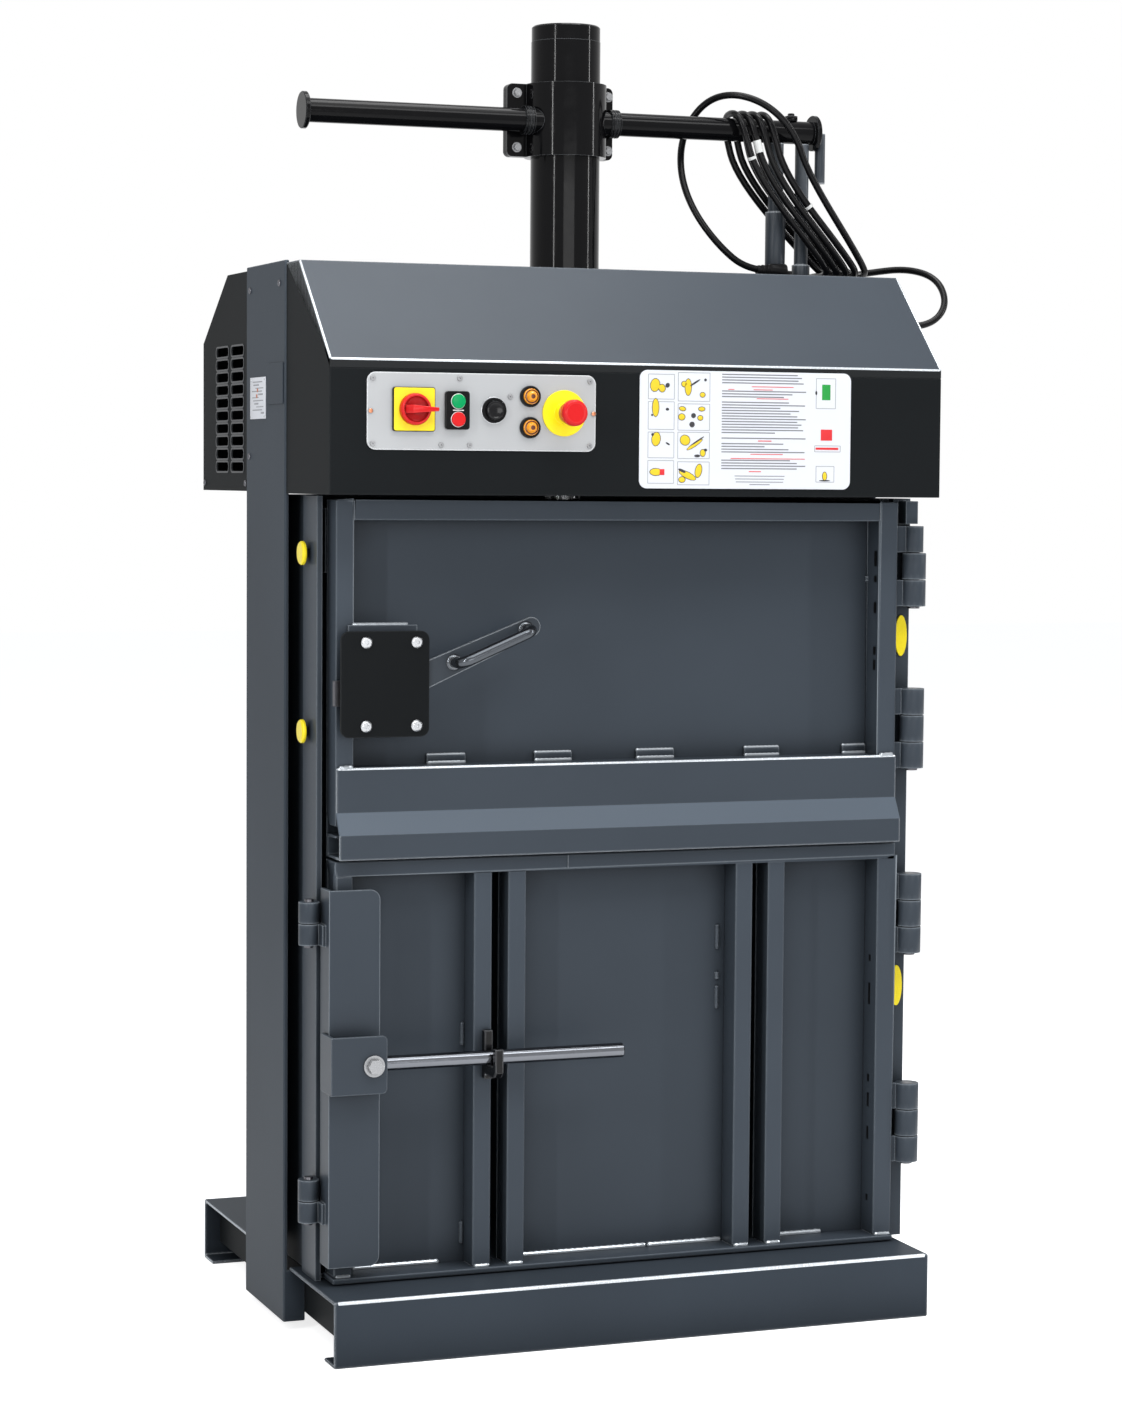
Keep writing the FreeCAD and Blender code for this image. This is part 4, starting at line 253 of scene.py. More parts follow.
def make_materials():
    """Adds every finish of the machine, by the record's slot or by its own name."""
    p = bpy.context.scene.baler_paint
    sheet = {"edge_highlight": DULL_EDGE_HIGHLIGHT, "radius": 0.003, "shade_reach": 0.05}
    folded = {"edge_highlight": BRIGHT_EDGE_HIGHLIGHT, "radius": 0.0042}
    fixing = {"grain": 400, "relief": 0.02, "spread": 0.1, "gloss": 0.3}
    cap = {"relief": 0.03, "spread": 0.04, "gloss": 0.35}
    lens = {"grain": 500, "relief": 0.05, "spread": 0.2}
    # The ledge's sloped band is painted twice as light as the body: painted light on the face that turns up
    # to the light
    ledge_slope = ("Z", 0.6955, 0.7245, shaded(p.body, 2.1))
    lid_front = ("Z", 1.20, 1.3215, p.dark)
    coat("body_paint", p.body, 0.38, "body_powder_coat", gloss=0.12, **sheet)
    # The door frames take a lighter copy of the body paint: painted light
    coat("lit_stile_paint", shaded(p.body, 1.17), 0.38, "stile_lit_coat", gloss=0.12, **sheet)
    coat("column_paint", p.body, 0.42, "column_powder_coat", gloss=0.03, **sheet)
    coat("bent_paint", p.body, 0.42, "bent_powder_coat", gloss=0.03, shade_reach=0.09, **folded)
    coat("ledge_paint", p.body, 0.38, "ledge_powder_coat", gloss=0.12, field=ledge_slope, **folded)
    coat("lid_paint", p.body, 0.38, "lid_powder_coat", gloss=0.12, field=lid_front, **folded)
    # A darker copy of the body paint: painted shade on the lever arm, with painted edge highlights; the bar
    # stands take it too
    coat(
        "shaded_lever_paint", shaded(p.body, 0.72), 0.36, "lever_shaded_coat", gloss=0.2,
        edge_highlight=(0.42, 0.45, 0.48), radius=0.003, shade_reach=0.03,
    )
    coat("black_paint", p.dark, 0.46, "dark_powder_coat", gloss=0.014, edge_highlight=DARK_EDGE_HIGHLIGHT)
    # The lock cover takes a darker copy of the dark paint: painted shade
    coat("shaded_cover_paint", shaded(p.dark, 0.7), 0.42, "cover_shaded_coat", gloss=0.035, edge_highlight=DARK_EDGE_HIGHLIGHT)
    # Darker rims round the louvre slots: painted shade of the slots' recesses
    coat("louvre_shade_rim", (0.035, 0.038, 0.042), 0.4, gloss=0.2)
    # Pale colour of the weld beads, which are painted over like the body: painted glint
    coat("weld_glint_paint", (0.40, 0.43, 0.46), 0.16, grain=200, relief=0.3, metallic=0.5)
    # Pale paint of the beads along edges: painted highlight
    coat("painted_highlight", (0.66, 0.70, 0.74), 0.25, grain=300, relief=0.05, metallic=0.3, spread=0.25)
    coat(
        "gloss_black", p.gloss, 0.085, "black_lacquer", grain=60, relief=0.002, gloss=0.1,
        edge_highlight=(0.10, 0.105, 0.11), radius=0.0012,
    )
    coat(
        "grip_black", (0.07, 0.077, 0.087), 0.17, "grip_lacquer", grain=60, relief=0.003,
        metallic=0.85, edge_highlight=(0.4, 0.42, 0.44),
    )
    coat(
        "hook_black", p.gloss, 0.16, "hook_lacquer", grain=120, relief=0.015, gloss=0.2,
        edge_highlight=(0.55, 0.57, 0.6), radius=0.0007,
    )
    coat("rod_steel", (0.155, 0.163, 0.18), 0.16, grain=60, relief=0.001, metallic=1.0, spread=0.03)
    coat("bolt_steel", (0.32, 0.325, 0.335), 0.24, metallic=0.6, shade_reach=0.006, **fixing)
    coat("screw_steel", (0.27, 0.273, 0.28), 0.3, metallic=0.5, **fixing)
    coat("dark_steel", (0.10, 0.10, 0.11), 0.36, grain=300, relief=0.1, metallic=1.0)
    coat("bright_steel", (0.43, 0.44, 0.455), 0.27, grain=400, relief=0.03, metallic=1.0, spread=0.1)
    coat("copper_steel", (0.55, 0.22, 0.12), 0.3, grain=400, relief=0.04, metallic=0.8, spread=0.12)
    coat("motor_cast", (0.22, 0.24, 0.26), 0.55, "motor_casting", grain=300, relief=0.3, metallic=0.6)
    coat(
        "panel_plate", (0.385, 0.395, 0.405), 0.42, "panel_aluminium", grain=1500, relief=0.1,
        metallic=0.25, spread=0.04, edge_highlight=(0.9, 0.92, 0.94), radius=0.003,
    )
    coat("sign_plate", PLATE_WHITE, 0.35, "sign_white", relief=0.02, spread=0.015, gloss=0.3)
    coat(
        "notice_sheet", PLATE_WHITE, 0.42, relief=0.02, spread=0.015, gloss=0.03,
        field=("X", -0.46, -0.43, p.body),
    )
    coat("yellow_plastic", p.yellow, 0.3, **cap)
    coat("cap_yellow", p.yellow, 0.3, field=("X", -0.4301, 0.0, (0.01, 0.01, 0.011)), **cap)
    coat(
        "red_plastic", p.red, 0.2, relief=0.02, spread=0.06, gloss=0.16, edge_highlight=(0.85, 0.2, 0.18),
        radius=0.001, shade_reach=0.02,
    )
    coat("green_plastic", p.green, 0.22, relief=0.02, spread=0.06, gloss=0.16)
    coat("black_plastic", (0.005, 0.005, 0.0055), 0.34, relief=0.08, gloss=0.08)
    coat("gloss_plastic", (0.004, 0.004, 0.005), 0.12, relief=0.01, gloss=0.22)
    coat("amber_lens", p.amber, 0.12, **lens)
    coat("lamp_shade", (0.10, 0.022, 0.004), 0.2, **lens)
    coat("collar_orange", (0.45, 0.10, 0.012), 0.3, relief=0.03)
    coat("pale_rim", (0.75, 0.75, 0.74), 0.3, relief=0.02)
    coat("tank_plastic", (0.03, 0.03, 0.033), 0.5)
    coat("cable_rubber", (0.004, 0.004, 0.0045), 0.24, grain=600, relief=0.03, gloss=0.13)
    coat("tie_nylon", (0.62, 0.63, 0.62), 0.4, relief=0.05)
    for slot, colour in (
        ("print_grey", (0.28, 0.29, 0.31)), ("print_text", (0.16, 0.165, 0.18)),
        ("plate_yellow", (0.72, 0.52, 0.01)), ("plate_dark", (0.015, 0.015, 0.02)),
        ("plate_red", (0.62, 0.015, 0.02)), ("plate_green", (0.0, 0.26, 0.03)),
    ):
        coat(slot, colour, 0.5, relief=0.01)


# ---- piece helpers ----
SHARP = math.radians(34)  # an edge that turns by more is rounded and stays crisp


def mm(*values):
    """Millimetres as metres."""
    return tuple(v / 1000 for v in values)


def clear_selection():
    """Deselects every piece."""
    bpy.ops.object.select_all(action="DESELECT")


def settle(piece):
    """Puts a piece's place, turn and size into its mesh."""
    clear_selection()
    piece.select_set(True)
    bpy.context.view_layer.objects.active = piece
    bpy.ops.object.transform_apply(location=True, rotation=True, scale=True)
    return piece


def placed(piece, place):
    """Moves a piece by millimetres."""
    piece.location = mm(*place)
    return settle(piece)


def aimed(piece, place, direction):
    """Stands a turned piece at a place in metres, with its own Z along a direction."""
    piece.location = place
    piece.rotation_mode = "QUATERNION"
    piece.rotation_quaternion = Vector(direction).to_track_quat("Z", "Y")
    return settle(piece)


def named(piece, name):
    """Names a piece and its mesh."""
    piece.name = name
    piece.data.name = name
    return piece


@contextmanager
def editing():
    """Edit mode on the active piece, with the whole of it selected at first."""
    bpy.ops.object.mode_set(mode="EDIT")
    bpy.ops.mesh.select_all(action="SELECT")
    yield
    bpy.ops.object.mode_set(mode="OBJECT")


def face_outwards():
    """Turns every face of the edited piece outwards."""
    bpy.ops.mesh.select_all(action="SELECT")
    bpy.ops.mesh.normals_make_consistent(inside=False)


def select_where(piece, wanted):
    """Selects the edited piece's points whose place passes a test."""
    mesh = bmesh.from_edit_mesh(piece.data)
    for vertex in mesh.verts:
        vertex.select_set(wanted(vertex.co))
    mesh.select_flush_mode()
    bmesh.update_edit_mesh(piece.data)


def edge_rounding(piece, name, width):
    """A modifier that rounds a piece's sharp edges."""
    rounding = piece.modifiers.new(name, "BEVEL")
    rounding.width = width
    rounding.segments = 2
    rounding.limit_method = "ANGLE"
    rounding.angle_limit = SHARP
    return rounding


def finish_piece(piece, slot, finish=None, body="frame", edge=0.0):
    """Gives a modelled piece its edges, shading, finish and body."""
    settle(piece)
    if edge:
        rounding = edge_rounding(piece, "Rounding", edge)
        bpy.ops.object.modifier_apply(modifier=rounding.name)
    bpy.ops.object.shade_smooth_by_angle(angle=SHARP)
    piece.data.materials.clear()
    piece.data.materials.append(MATERIALS[finish or slot])
    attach(piece, body)
    return piece


def block(name, low, high, edge=None):
    """A block between two corners in metres, with its edges rounded."""
    clear_selection()
    middle = [(a + b) / 2 for a, b in zip(low, high)]
    extent = [b - a for a, b in zip(low, high)]
    bpy.ops.mesh.primitive_cube_add(size=1, location=middle, scale=extent)
    piece = settle(named(bpy.context.object, name))
    with editing():
        bpy.ops.mesh.bevel(affect="EDGES", offset=edge or min(extent) * 0.2, segments=2)
    return piece


def turned(name, profile, sides=32):
    """A turned piece about its own Z, from (radius, height) steps in millimetres."""
    clear_selection()
    radius, height = mm(*profile[0])
    bpy.ops.mesh.primitive_circle_add(
        vertices=sides, radius=radius, fill_type="NGON", location=(0, 0, height)
    )
    piece = settle(named(bpy.context.object, name))
    with editing():
        for (r0, h0), (r1, h1) in zip(profile, profile[1:]):
            bpy.ops.mesh.extrude_region_move(TRANSFORM_OT_translate={"value": mm(0, 0, h1 - h0)})
            bpy.ops.transform.resize(value=(r1 / r0, r1 / r0, 1), center_override=mm(0, 0, h1))
        face_outwards()
    return piece


def flat_rim(name, size, corner, width, depth, place, turn):
    """A flat rim in millimetres: a plane with cut corners, inset, opened and given a depth."""
    clear_selection()
    bpy.ops.mesh.primitive_plane_add(size=1)
    piece = named(bpy.context.object, name)
    piece.scale = mm(*size, 1000)
    settle(piece)
    piece.rotation_euler = turn
    placed(piece, place)
    with editing():
        bpy.ops.mesh.bevel(affect="VERTICES", offset=corner / 1000, segments=4)
        bpy.ops.mesh.inset(thickness=width / 1000)
        bpy.ops.mesh.delete(type="FACE")
        bpy.ops.mesh.select_all(action="SELECT")
        bpy.ops.mesh.extrude_region_move(TRANSFORM_OT_translate={"value": mm(*depth)})
        face_outwards()
    return piece


def round_rim(name, radius, wire):
    """A round, slightly flattened rim at the origin that faces the front, in millimetres."""
    clear_selection()
    bpy.ops.mesh.primitive_torus_add(
        rotation=(math.pi / 2, 0, 0), major_radius=radius / 1000, minor_radius=wire / 1000,
        major_segments=48, minor_segments=10,
    )
    piece = settle(named(bpy.context.object, name))
    with editing():
        bpy.ops.transform.resize(value=(1, 0.7, 1), center_override=(0, 0, 0))
    return piece


def copied(piece, name):
    """A copy with its own mesh."""
    twin = piece.copy()
    twin.data = piece.data.copy()
    bpy.context.collection.objects.link(twin)
    return named(twin, name)


def joined(pieces, name):
    """Several pieces as one."""
    clear_selection()
    for piece in pieces:
        piece.select_set(True)
    bpy.context.view_layer.objects.active = pieces[0]
    bpy.ops.object.join()
    return named(bpy.context.object, name)


def set_out(pattern, name, places, direction=None):
    """Copies of a pattern at several places in millimetres, joined as one."""
    if direction:
        aimed(pattern, (0, 0, 0), direction)
    pieces = [placed(copied(pattern, name), place) for place in places]
    bpy.data.objects.remove(pattern)
    return joined(pieces, name)


def turned_row(name, profile, sides, places, direction, slot, finish=None, body="frame"):
    """A turned piece at several places in millimetres, finished as one piece."""
    row = set_out(turned("pattern", profile, sides), name, places, direction)
    return finish_piece(row, slot, finish, body)


def along(name, start, end, profile, sides):
    """A turned piece from one point in millimetres to another."""
    start, end = Vector(start), Vector(end)
    return aimed(turned(name, profile((end - start).length), sides), start / 1000, end - start)


# ---- the frame's nodes ----
BEND_EDGES = {  # rounding of the bent sheets and of thin plates, in metres
    "base_beams": 0.0035, "upper_door_ledge": 0.0022, "hood_lid": 0.0022, "hood_front_panel": 0.0015,
    "hood_ends": 0.0008, "power_box_shell": 0.002, "power_box_ends": 0.0006, "latch_plate": 0.0018,
    "latch_bracket": 0.0018, "rod_hook": 0.0018, "upper_door_frame": 0.0025,
    "lower_door_frame": 0.0025, "side_columns": 0.0015,
}
OWN_FINISH = {
    "rod_hook": "hook_black", "lever_handle": "grip_black", "lock_lever": "shaded_lever_paint",
    "lift_rod": "rod_steel", "base_beams": "bent_paint", "upper_door_ledge": "ledge_paint",
    # the side sills take the dark paint: painted shade inside the base channel
    "side_columns": "column_paint", "hood_lid": "lid_paint", "side_sills": "black_paint",
    "lock_cover": "shaded_cover_paint", "marker_caps": "cap_yellow", "notice_plates": "notice_sheet",
    "bright_bolts": "bolt_steel", "panel_screws": "screw_steel", "bar_stands": "shaded_lever_paint",
    "upper_door_frame": "lit_stile_paint", "lower_door_frame": "lit_stile_paint",
}
ROUND_NODES = (  # turned and bent round, so they keep the solids' own shading
    "cable_free_start", "cable_hank", "cable_free_end", "pressure_pipe", "cylinder_barrel",
    "cylinder_cap", "bar_clamp", "reel_bars", "lift_rod", "lever_handle", "piston_rod",
)


def dress_node(name, slot):
    """Gives a node of the frame its finish and rounds its sharp edges a little."""
    piece = frame["nodes"][name]
    piece.data.materials.clear()
    piece.data.materials.append(MATERIALS[OWN_FINISH.get(name, slot)])
    if name in ROUND_NODES:
        return
    weld = piece.modifiers.new("Weld", "WELD")
    weld.merge_threshold = 0.00001  # a node's mesh is loose triangles that meet
    flat = piece.modifiers.new("Flat faces", "DECIMATE")
    flat.decimate_type = "DISSOLVE"
    flat.angle_limit = math.radians(0.5)
    edge_rounding(piece, "Edges", BEND_EDGES.get(name, sizes().edge)).harden_normals = True


class BALER_OT_finishes(bpy.types.Operator):
    """Gives every node of the frame its finish"""

    bl_idname = "baler.finishes"
    bl_label = "Finishes"

    def execute(self, context):
        for node in frame["record"]["subparts"]:
            dress_node(node["node"], node["material_slot"])
        return {"FINISHED"}


# ---- the cable ----
# The cable's control points in millimetres, from the hood's gland to the side gland
CABLE_START = (
    (298, -48, 1470), (262, -48, 1470), (218, -44, 1504), (186, -22, 1556), (178, 6, 1612),
    (190, 24, 1668), (214, 4, 1712), (242, -38, 1722), (284, -68, 1704), (324, -74, 1664),
    (348, -66, 1608), (443.879, -54, 1481.214),
)
HANK_LOOP = (  # under the foot, up behind the reel bar, over it and down in front
    (454.8, -36.075, 1467), (454.8, -3.925, 1467), (442.134, 14, 1479.684), (316, 14, 1606),
    (296.716, 14, 1676.707), (292, -3.925, 1694), (292, -36.075, 1694), (296.716, -54, 1676.707),
    (316, -54, 1606), (427.689, -54, 1480.395),
)
HANK_LOOPS, HANK_PITCH = 4, 15.2  # a fifth loop comes from the cable's start and end
CABLE_END = (
    (394, -36.075, 1467), (394, 28, 1467), (413, 63, 1467), (452, 75, 1468), (504, 58, 1478),
    (549, 18, 1484), (574, -32, 1468), (575, -64, 1430), (550, -74, 1400), (508, -68, 1392),
    (466, -68, 1392),
)


def cable_route():
    """The cable's control points in metres."""
    hank = [(x - n * HANK_PITCH, y, z) for n in range(HANK_LOOPS) for x, y, z in HANK_LOOP]
    return [Vector(point) / 1000 for point in (*CABLE_START, *hank, *CABLE_END)]


class BALER_OT_cable(bpy.types.Operator):
    """Makes the cable with its hank, as one smooth line"""

    bl_idname = "baler.cable"
    bl_label = "Cable"

    def execute(self, context):
        clear_selection()
        curve = bpy.data.curves.new("cable", "CURVE")
        curve.dimensions = "3D"
        route = cable_route()
        spline = curve.splines.new("NURBS")
        spline.points.add(len(route) - 1)
        for point, place in zip(spline.points, route):
            point.co = (*place, 1.0)
        spline.order_u = 3
        spline.use_endpoint_u = True
        spline.resolution_u = 8
        curve.bevel_depth = sizes().cable / 2
        curve.bevel_resolution = 4
        piece = bpy.data.objects.new("cable", curve)
        context.collection.objects.link(piece)
        piece.data.materials.append(MATERIALS["cable_rubber"])
        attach(piece, "frame")
        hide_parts("cable_free_start", "cable_hank", "cable_free_end")
        return {"FINISHED"}


def cable_line():
    """Points along the cable's smooth line."""
    curve = bpy.data.objects["cable"].data.copy()
    curve.bevel_depth = 0
    holder = bpy.data.objects.new("cable_line", curve)
    bpy.context.collection.objects.link(holder)
    bpy.context.view_layer.update()
    mesh = bpy.data.meshes.new_from_object(holder)
    points = [v.co.copy() for v in mesh.vertices]
    bpy.data.objects.remove(holder)
    bpy.data.meshes.remove(mesh)
    return points


CABLE_TIES = ((259, -54, 1626), (360, -54, 1561))
CABLE_SLEEVE = (270, -54, 1640)
CABLE_MOUTHS = (((299, -48, 1470), (-1, 0, 0)), ((465, -68, 1392), (1, 0, 0)))
TIE_BAND = ((5.6, -2.2), (6.4, -2.0), (6.4, 2.0), (5.6, 2.2))
SLEEVE_PROFILE = ((5.2, -9), (5.8, -8.6), (5.8, 8.6), (5.2, 9))
RELIEF_PROFILE = (
    (9.4, 0), (9.2, 2), (8.2, 3), (8.2, 5), (9.0, 6), (8.8, 8), (7.6, 9), (7.6, 11),
    (8.2, 12), (8.0, 14), (7.0, 15), (7.0, 17), (7.4, 18), (7.2, 20), (6.2, 22),
)


class BALER_OT_cable_fittings(bpy.types.Operator):
    """Adds the ties, the marking sleeve and the bend reliefs on the cable"""

    bl_idname = "baler.cable_fittings"
    bl_label = "Cable fittings"

    def execute(self, context):
        points = cable_line()
        head = block("tie_head", mm(5.5, -2.6, -2.6), mm(10.0, 2.6, 2.6))
        tie = joined([turned("tie_band", TIE_BAND, 24), head], "tie")
        for n, place in enumerate(CABLE_TIES):
            self.fit(copied(tie, f"cable_tie_{n}"), points, place)
        self.fit(turned("cable_sleeve", SLEEVE_PROFILE, 24), points, CABLE_SLEEVE)
        relief = turned("relief", RELIEF_PROFILE)
        for n, (place, direction) in enumerate(CABLE_MOUTHS):
            twin = copied(relief, f"cable_relief_{n}")
            finish_piece(aimed(twin, mm(*place), direction), "black_plastic")
        for pattern in (tie, relief):
            bpy.data.objects.remove(pattern)
        return {"FINISHED"}

    def fit(self, piece, points, place):
        """Puts a piece round the cable, at the point of its line nearest to a place."""
        place = Vector(mm(*place))
        n = min(range(1, len(points) - 1), key=lambda k: (points[k] - place).length)
        aimed(piece, points[n], points[n + 1] - points[n - 1])
        finish_piece(piece, "sign_plate", "tie_nylon")


# ---- the controls ----
PANEL_FACE = -315.0  # Y of the control plate's front face
PANEL_ROW = 1258.5  # height of the switch and the black button
SWITCH_X, BUTTONS_X, BLACK_X, LAMPS_X, STOP_X = -327.5, -268.5, -216.5, -166.0, -118.0
BUTTON_HEIGHTS, LAMP_HEIGHTS, STOP_HEIGHT = (1269.5, 1246.0), (1277.5, 1236.5), 1256.0
TO_FRONT = (0, -1, 0)

# Turned shapes, as radius and height above the plate
KNOB_DISC = (
    (21.0, 0), (21.0, 5.0), (20.2, 8.4), (18.6, 9.8), (17.0, 9.4), (15.8, 6.4), (13.5, 5.4), (4.0, 5.0),
)
BLACK_HEAD = ((12.5, 3.3), (12.5, 8.2), (11.6, 9.6), (10.0, 10.0), (8.6, 9.4), (8.0, 9.2))
LAMP_LENS = (
    (11.0, 0), (10.4, 5.5), (10.2, 7.4), (8.4, 9.0), (7.6, 8.6), (6.2, 12.4), (4.6, 14.0), (2.0, 14.0),
)
LAMP_BEZEL = ((14.2, 0), (14.2, 4.4), (13.4, 5.8), (11.6, 5.8), (10.9, 4.4))
LAMP_RING = ((9.4, 7.6), (9.2, 9.2), (8.0, 9.4), (7.4, 8.4))
LAMP_SPOT = ((3.2, 13.6), (3.0, 14.3), (1.5, 14.4))
STOP_HEAD = (
    (9.0, 7.3), (9.0, 27.0), (13.0, 31.0), (16.4, 32.0), (17.5, 34.0), (17.5, 42.0), (16.8, 44.6),
    (15.0, 46.4), (13.0, 47.0), (11.6, 46.6), (10.8, 46.6),
)
STOP_RING = ((14.3, 19.0), (14.3, 22.4), (13.0, 23.4), (9.6, 23.4))


class BALER_OT_controls(bpy.types.Operator):
    """Models the switch, buttons, lamps and stop button of the control plate"""

    bl_idname = "baler.controls"
    bl_label = "Controls"

    def execute(self, context):
        rim_front = (SWITCH_X, PANEL_FACE - 5.6, PANEL_ROW)
        rim = flat_rim("switch_rim", (57.6, 57.6), 3.2, 2.0, (0, 5.6, 0), rim_front, (math.pi / 2, 0, 0))
        finish_piece(rim, "black_plastic", edge=0.0008)
        self.switch_knob()
        places = [(BUTTONS_X, PANEL_FACE - 9.2, height) for height in BUTTON_HEIGHTS]
        rims = set_out(round_rim("rim", 9.2, 1.0), "rims", places)
        dash = block("dash", mm(-276, -324.8, 1257.1), mm(-261, -323.8, 1258.5))
        finish_piece(joined([rims, dash], "button_rims"), "bright_steel", "pale_rim")
        rim = placed(round_rim("start_rim", 16.9, 1.0), (BLACK_X, PANEL_FACE - 0.6, PANEL_ROW))
        finish_piece(rim, "bright_steel")
        head = self.turned_head("black_button_head", BLACK_HEAD, 40, BLACK_X, PANEL_ROW)
        finish_piece(head, "black_plastic", "gloss_plastic", body="black_push")
        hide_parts("black_button")
        self.lamps()
        head = self.turned_head("stop_button_head", STOP_HEAD, 48, STOP_X, STOP_HEIGHT)
        finish_piece(head, "red_plastic", body="stop_push")
        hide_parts("stop_button")
        # Orange ring under the stop head: painted reflection of the red head and painted shade on the yellow
        # collar
        ring = self.turned_head("stop_collar_ring", STOP_RING, 40, STOP_X, STOP_HEIGHT)
        finish_piece(ring, "amber_lens", "collar_orange")
        return {"FINISHED"}

    def turned_head(self, name, profile, sides, x, height):
        """A turned piece that stands on the control plate."""
        return aimed(turned(name, profile, sides), mm(x, PANEL_FACE, height), TO_FRONT)

    def switch_knob(self):
        """The red knob: a dished disc with a tapered bar across it."""
        disc = aimed(turned("disc", KNOB_DISC, 48), mm(SWITCH_X, PANEL_FACE - 6.0, PANEL_ROW), TO_FRONT)
        bar = block("bar", mm(-345, -337.6, 1253), mm(-298.5, -325, 1264), 0.0012)
        with editing():  # the right end tapers, and the left end's front slants
            select_where(bar, lambda place: place.x > -0.318)
            bpy.ops.transform.resize(value=(1, 0.7, 0.45), center_override=mm(-298.5, -334, PANEL_ROW))
            select_where(bar, lambda place: place.x < -0.33 and place.y < -0.335)
            bpy.ops.transform.translate(value=mm(10, 0, 0))
        knob = joined([disc, bar], "main_switch_knob")
        finish_piece(knob, "red_plastic", body="main_switch", edge=0.0014)
        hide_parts("switch_knob")

    def lamps(self):
        """The two lamps: stepped amber lenses in black bezels."""
        places = [(LAMPS_X, PANEL_FACE, height) for height in LAMP_HEIGHTS]
        lenses = turned_row("lamp_lenses", LAMP_LENS, 40, places, TO_FRONT, "amber_lens")
        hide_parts("panel_lamps")
        turned_row("lamp_bezels", LAMP_BEZEL, 40, places, TO_FRONT, "black_plastic", "gloss_plastic")
        ring = joined([turned("ring", LAMP_RING), turned("spot", LAMP_SPOT, 20)], "ring")
        finish_piece(set_out(ring, "lamp_rings", places, TO_FRONT), "amber_lens", "lamp_shade")


# ---- the print ----
# All in millimetres from the large plate's upper left corner
NOTICE_CORNER = (-9.5, -314.5, 1315.5)
BOX_COLUMNS = (  # left side and width of a column of boxes, then their tops and heights
    (12.4, 37.5, ((5.4, 33.1), (42.0, 37.0), (82.7, 34.3), (120.6, 30.4))),
    (55.5, 46.1, ((2.7, 38.0), (44.4, 35.3), (82.4, 35.2), (122.0, 30.8))),
)
RIGHT_BOXES = ((259, 7.3, 29, 40.7), (257.5, 98.6, 38.5, 8.2), (260, 126.6, 27, 21.4))
# Fields as middle x and y, width, height and turn in degrees
YELLOW_FIELDS = (
    (22, 20, 13, 17, 12), (32, 24, 9, 10, -20), (23, 50, 9, 24, 0), (24, 92, 12, 18, 8), (24, 136, 17, 9, 0),
    (70, 22, 9, 22, 0), (64, 18, 7, 7, 30), (91, 32, 7, 6, 0), (62, 51, 9, 5, 10), (61, 62, 9, 8, 0),
    (88, 63, 7, 6, 0), (90, 51, 9, 5, 0), (66, 93, 14, 13, 20), (80, 99, 26, 4, -32), (92, 110, 7, 9, 0),
    (70, 140, 26, 8, 24), (86, 134, 9, 18, 12), (62, 146, 9, 7, 0), (273, 140, 6, 11, 0),
)
DARK_FIELDS = (
    (40, 20, 6, 7, 40), (18, 60, 3, 3, 0), (40, 52, 5, 4, 0), (19, 86, 4, 4, 0), (41, 98, 7, 2.5, 30),
    (80, 16, 18, 2.5, -32), (95, 12, 4, 4, 0), (78, 60, 7, 7, 0), (76, 72, 8, 8, 0), (84, 94, 24, 2.2, -32),
    (84, 114, 9, 4, 0), (96, 106, 5, 4, 0), (62, 134, 12, 4, 24), (259, 27, 3, 6, 0), (273, 146, 17, 2, 0),
)
RED_MARKS = ((33, 136, 7, 8, 0), (275, 84, 17, 15, 0), (276, 102.5, 34, 3, 0))
RED_BARS = (
    (194, 20, 62, 0.9, 0), (133, 24, 9, 0.9, 0), (180, 24, 28, 0.9, 0), (194, 36, 47, 0.9, 0),
    (183, 93, 20, 1.2, 0), (186, 111, 48, 0.9, 0), (188, 117, 110, 0.9, 0), (169, 134.5, 18, 1.1, 0),
)
BACKING_MARGIN = 1.8  # dark border of the yellow fields, both sides together
BAR_LEFT, BAR_TOP, BAR_PITCH, BAR_COUNT = 119.3, 4.0, 3.72, 35
BAR_WIDTH, BAR_HEIGHT, RED_CLEAR = 127, 1.5, 1.6
BAR_SHARES = (
    0.88, 0.93, 0.89, 0.95, 0.62, 0.0, 0.98, 0.82, 0.72, 0.5, 0.78, 0.97, 0.68, 0.9, 0.8, 0.88, 0.98,
)
FOOT_BARS = [(176, y, width, 1.0, 0) for y, width in ((140.5, 74), (144.5, 72), (148.5, 70), (152, 30))]
# The small plate's marks from its top: middle, half width and half height
COLUMN_MARKS = (
    (23, 24, 0.7), (30, 14, 0.9), (14, 20, 0.6), (26, 26, 0.7), (8, 12, 1.0), (34, 16, 0.6), (20, 25, 0.7),
    (29, 10, 1.0), (12, 18, 0.6), (24, 24, 0.7), (-2, 8, 1.2),
)
MARK_TOP, MARK_PITCH = 1300, 4.3
RIVET = ((1.6, 0), (1.5, 0.6), (0.8, 1.0))


def print_fields(name, fields, finish, rise=0.12, sides=4):
    """Thin raised fields on the large plate, all with the same number of sides."""
    pattern = turned("field", ((500, 0), (500, 1000 * rise), (490, 1200 * rise)), sides)
    fit = math.sqrt(2) if sides == 4 else 1.0
    spin = Matrix.Rotation(math.pi / 4 if sides == 4 else 0, 4, "Z")
    upright = Matrix.Rotation(math.pi / 2, 4, "X")
    left, face, top = NOTICE_CORNER
    pieces = []
    for x, y, width, height, turn in fields:
        place = Matrix.Translation(mm(left + x, face, top - y))
        size = Matrix.Diagonal((*mm(width * fit, height * fit, 1), 1.0))
        field = copied(pattern, "field")
        field.data.transform(place @ upright @ Matrix.Rotation(math.radians(-turn), 4, "Z") @ size @ spin)
        pieces.append(field)
    bpy.data.objects.remove(pattern)
    finish_piece(joined(pieces, name), "sign_plate", finish)


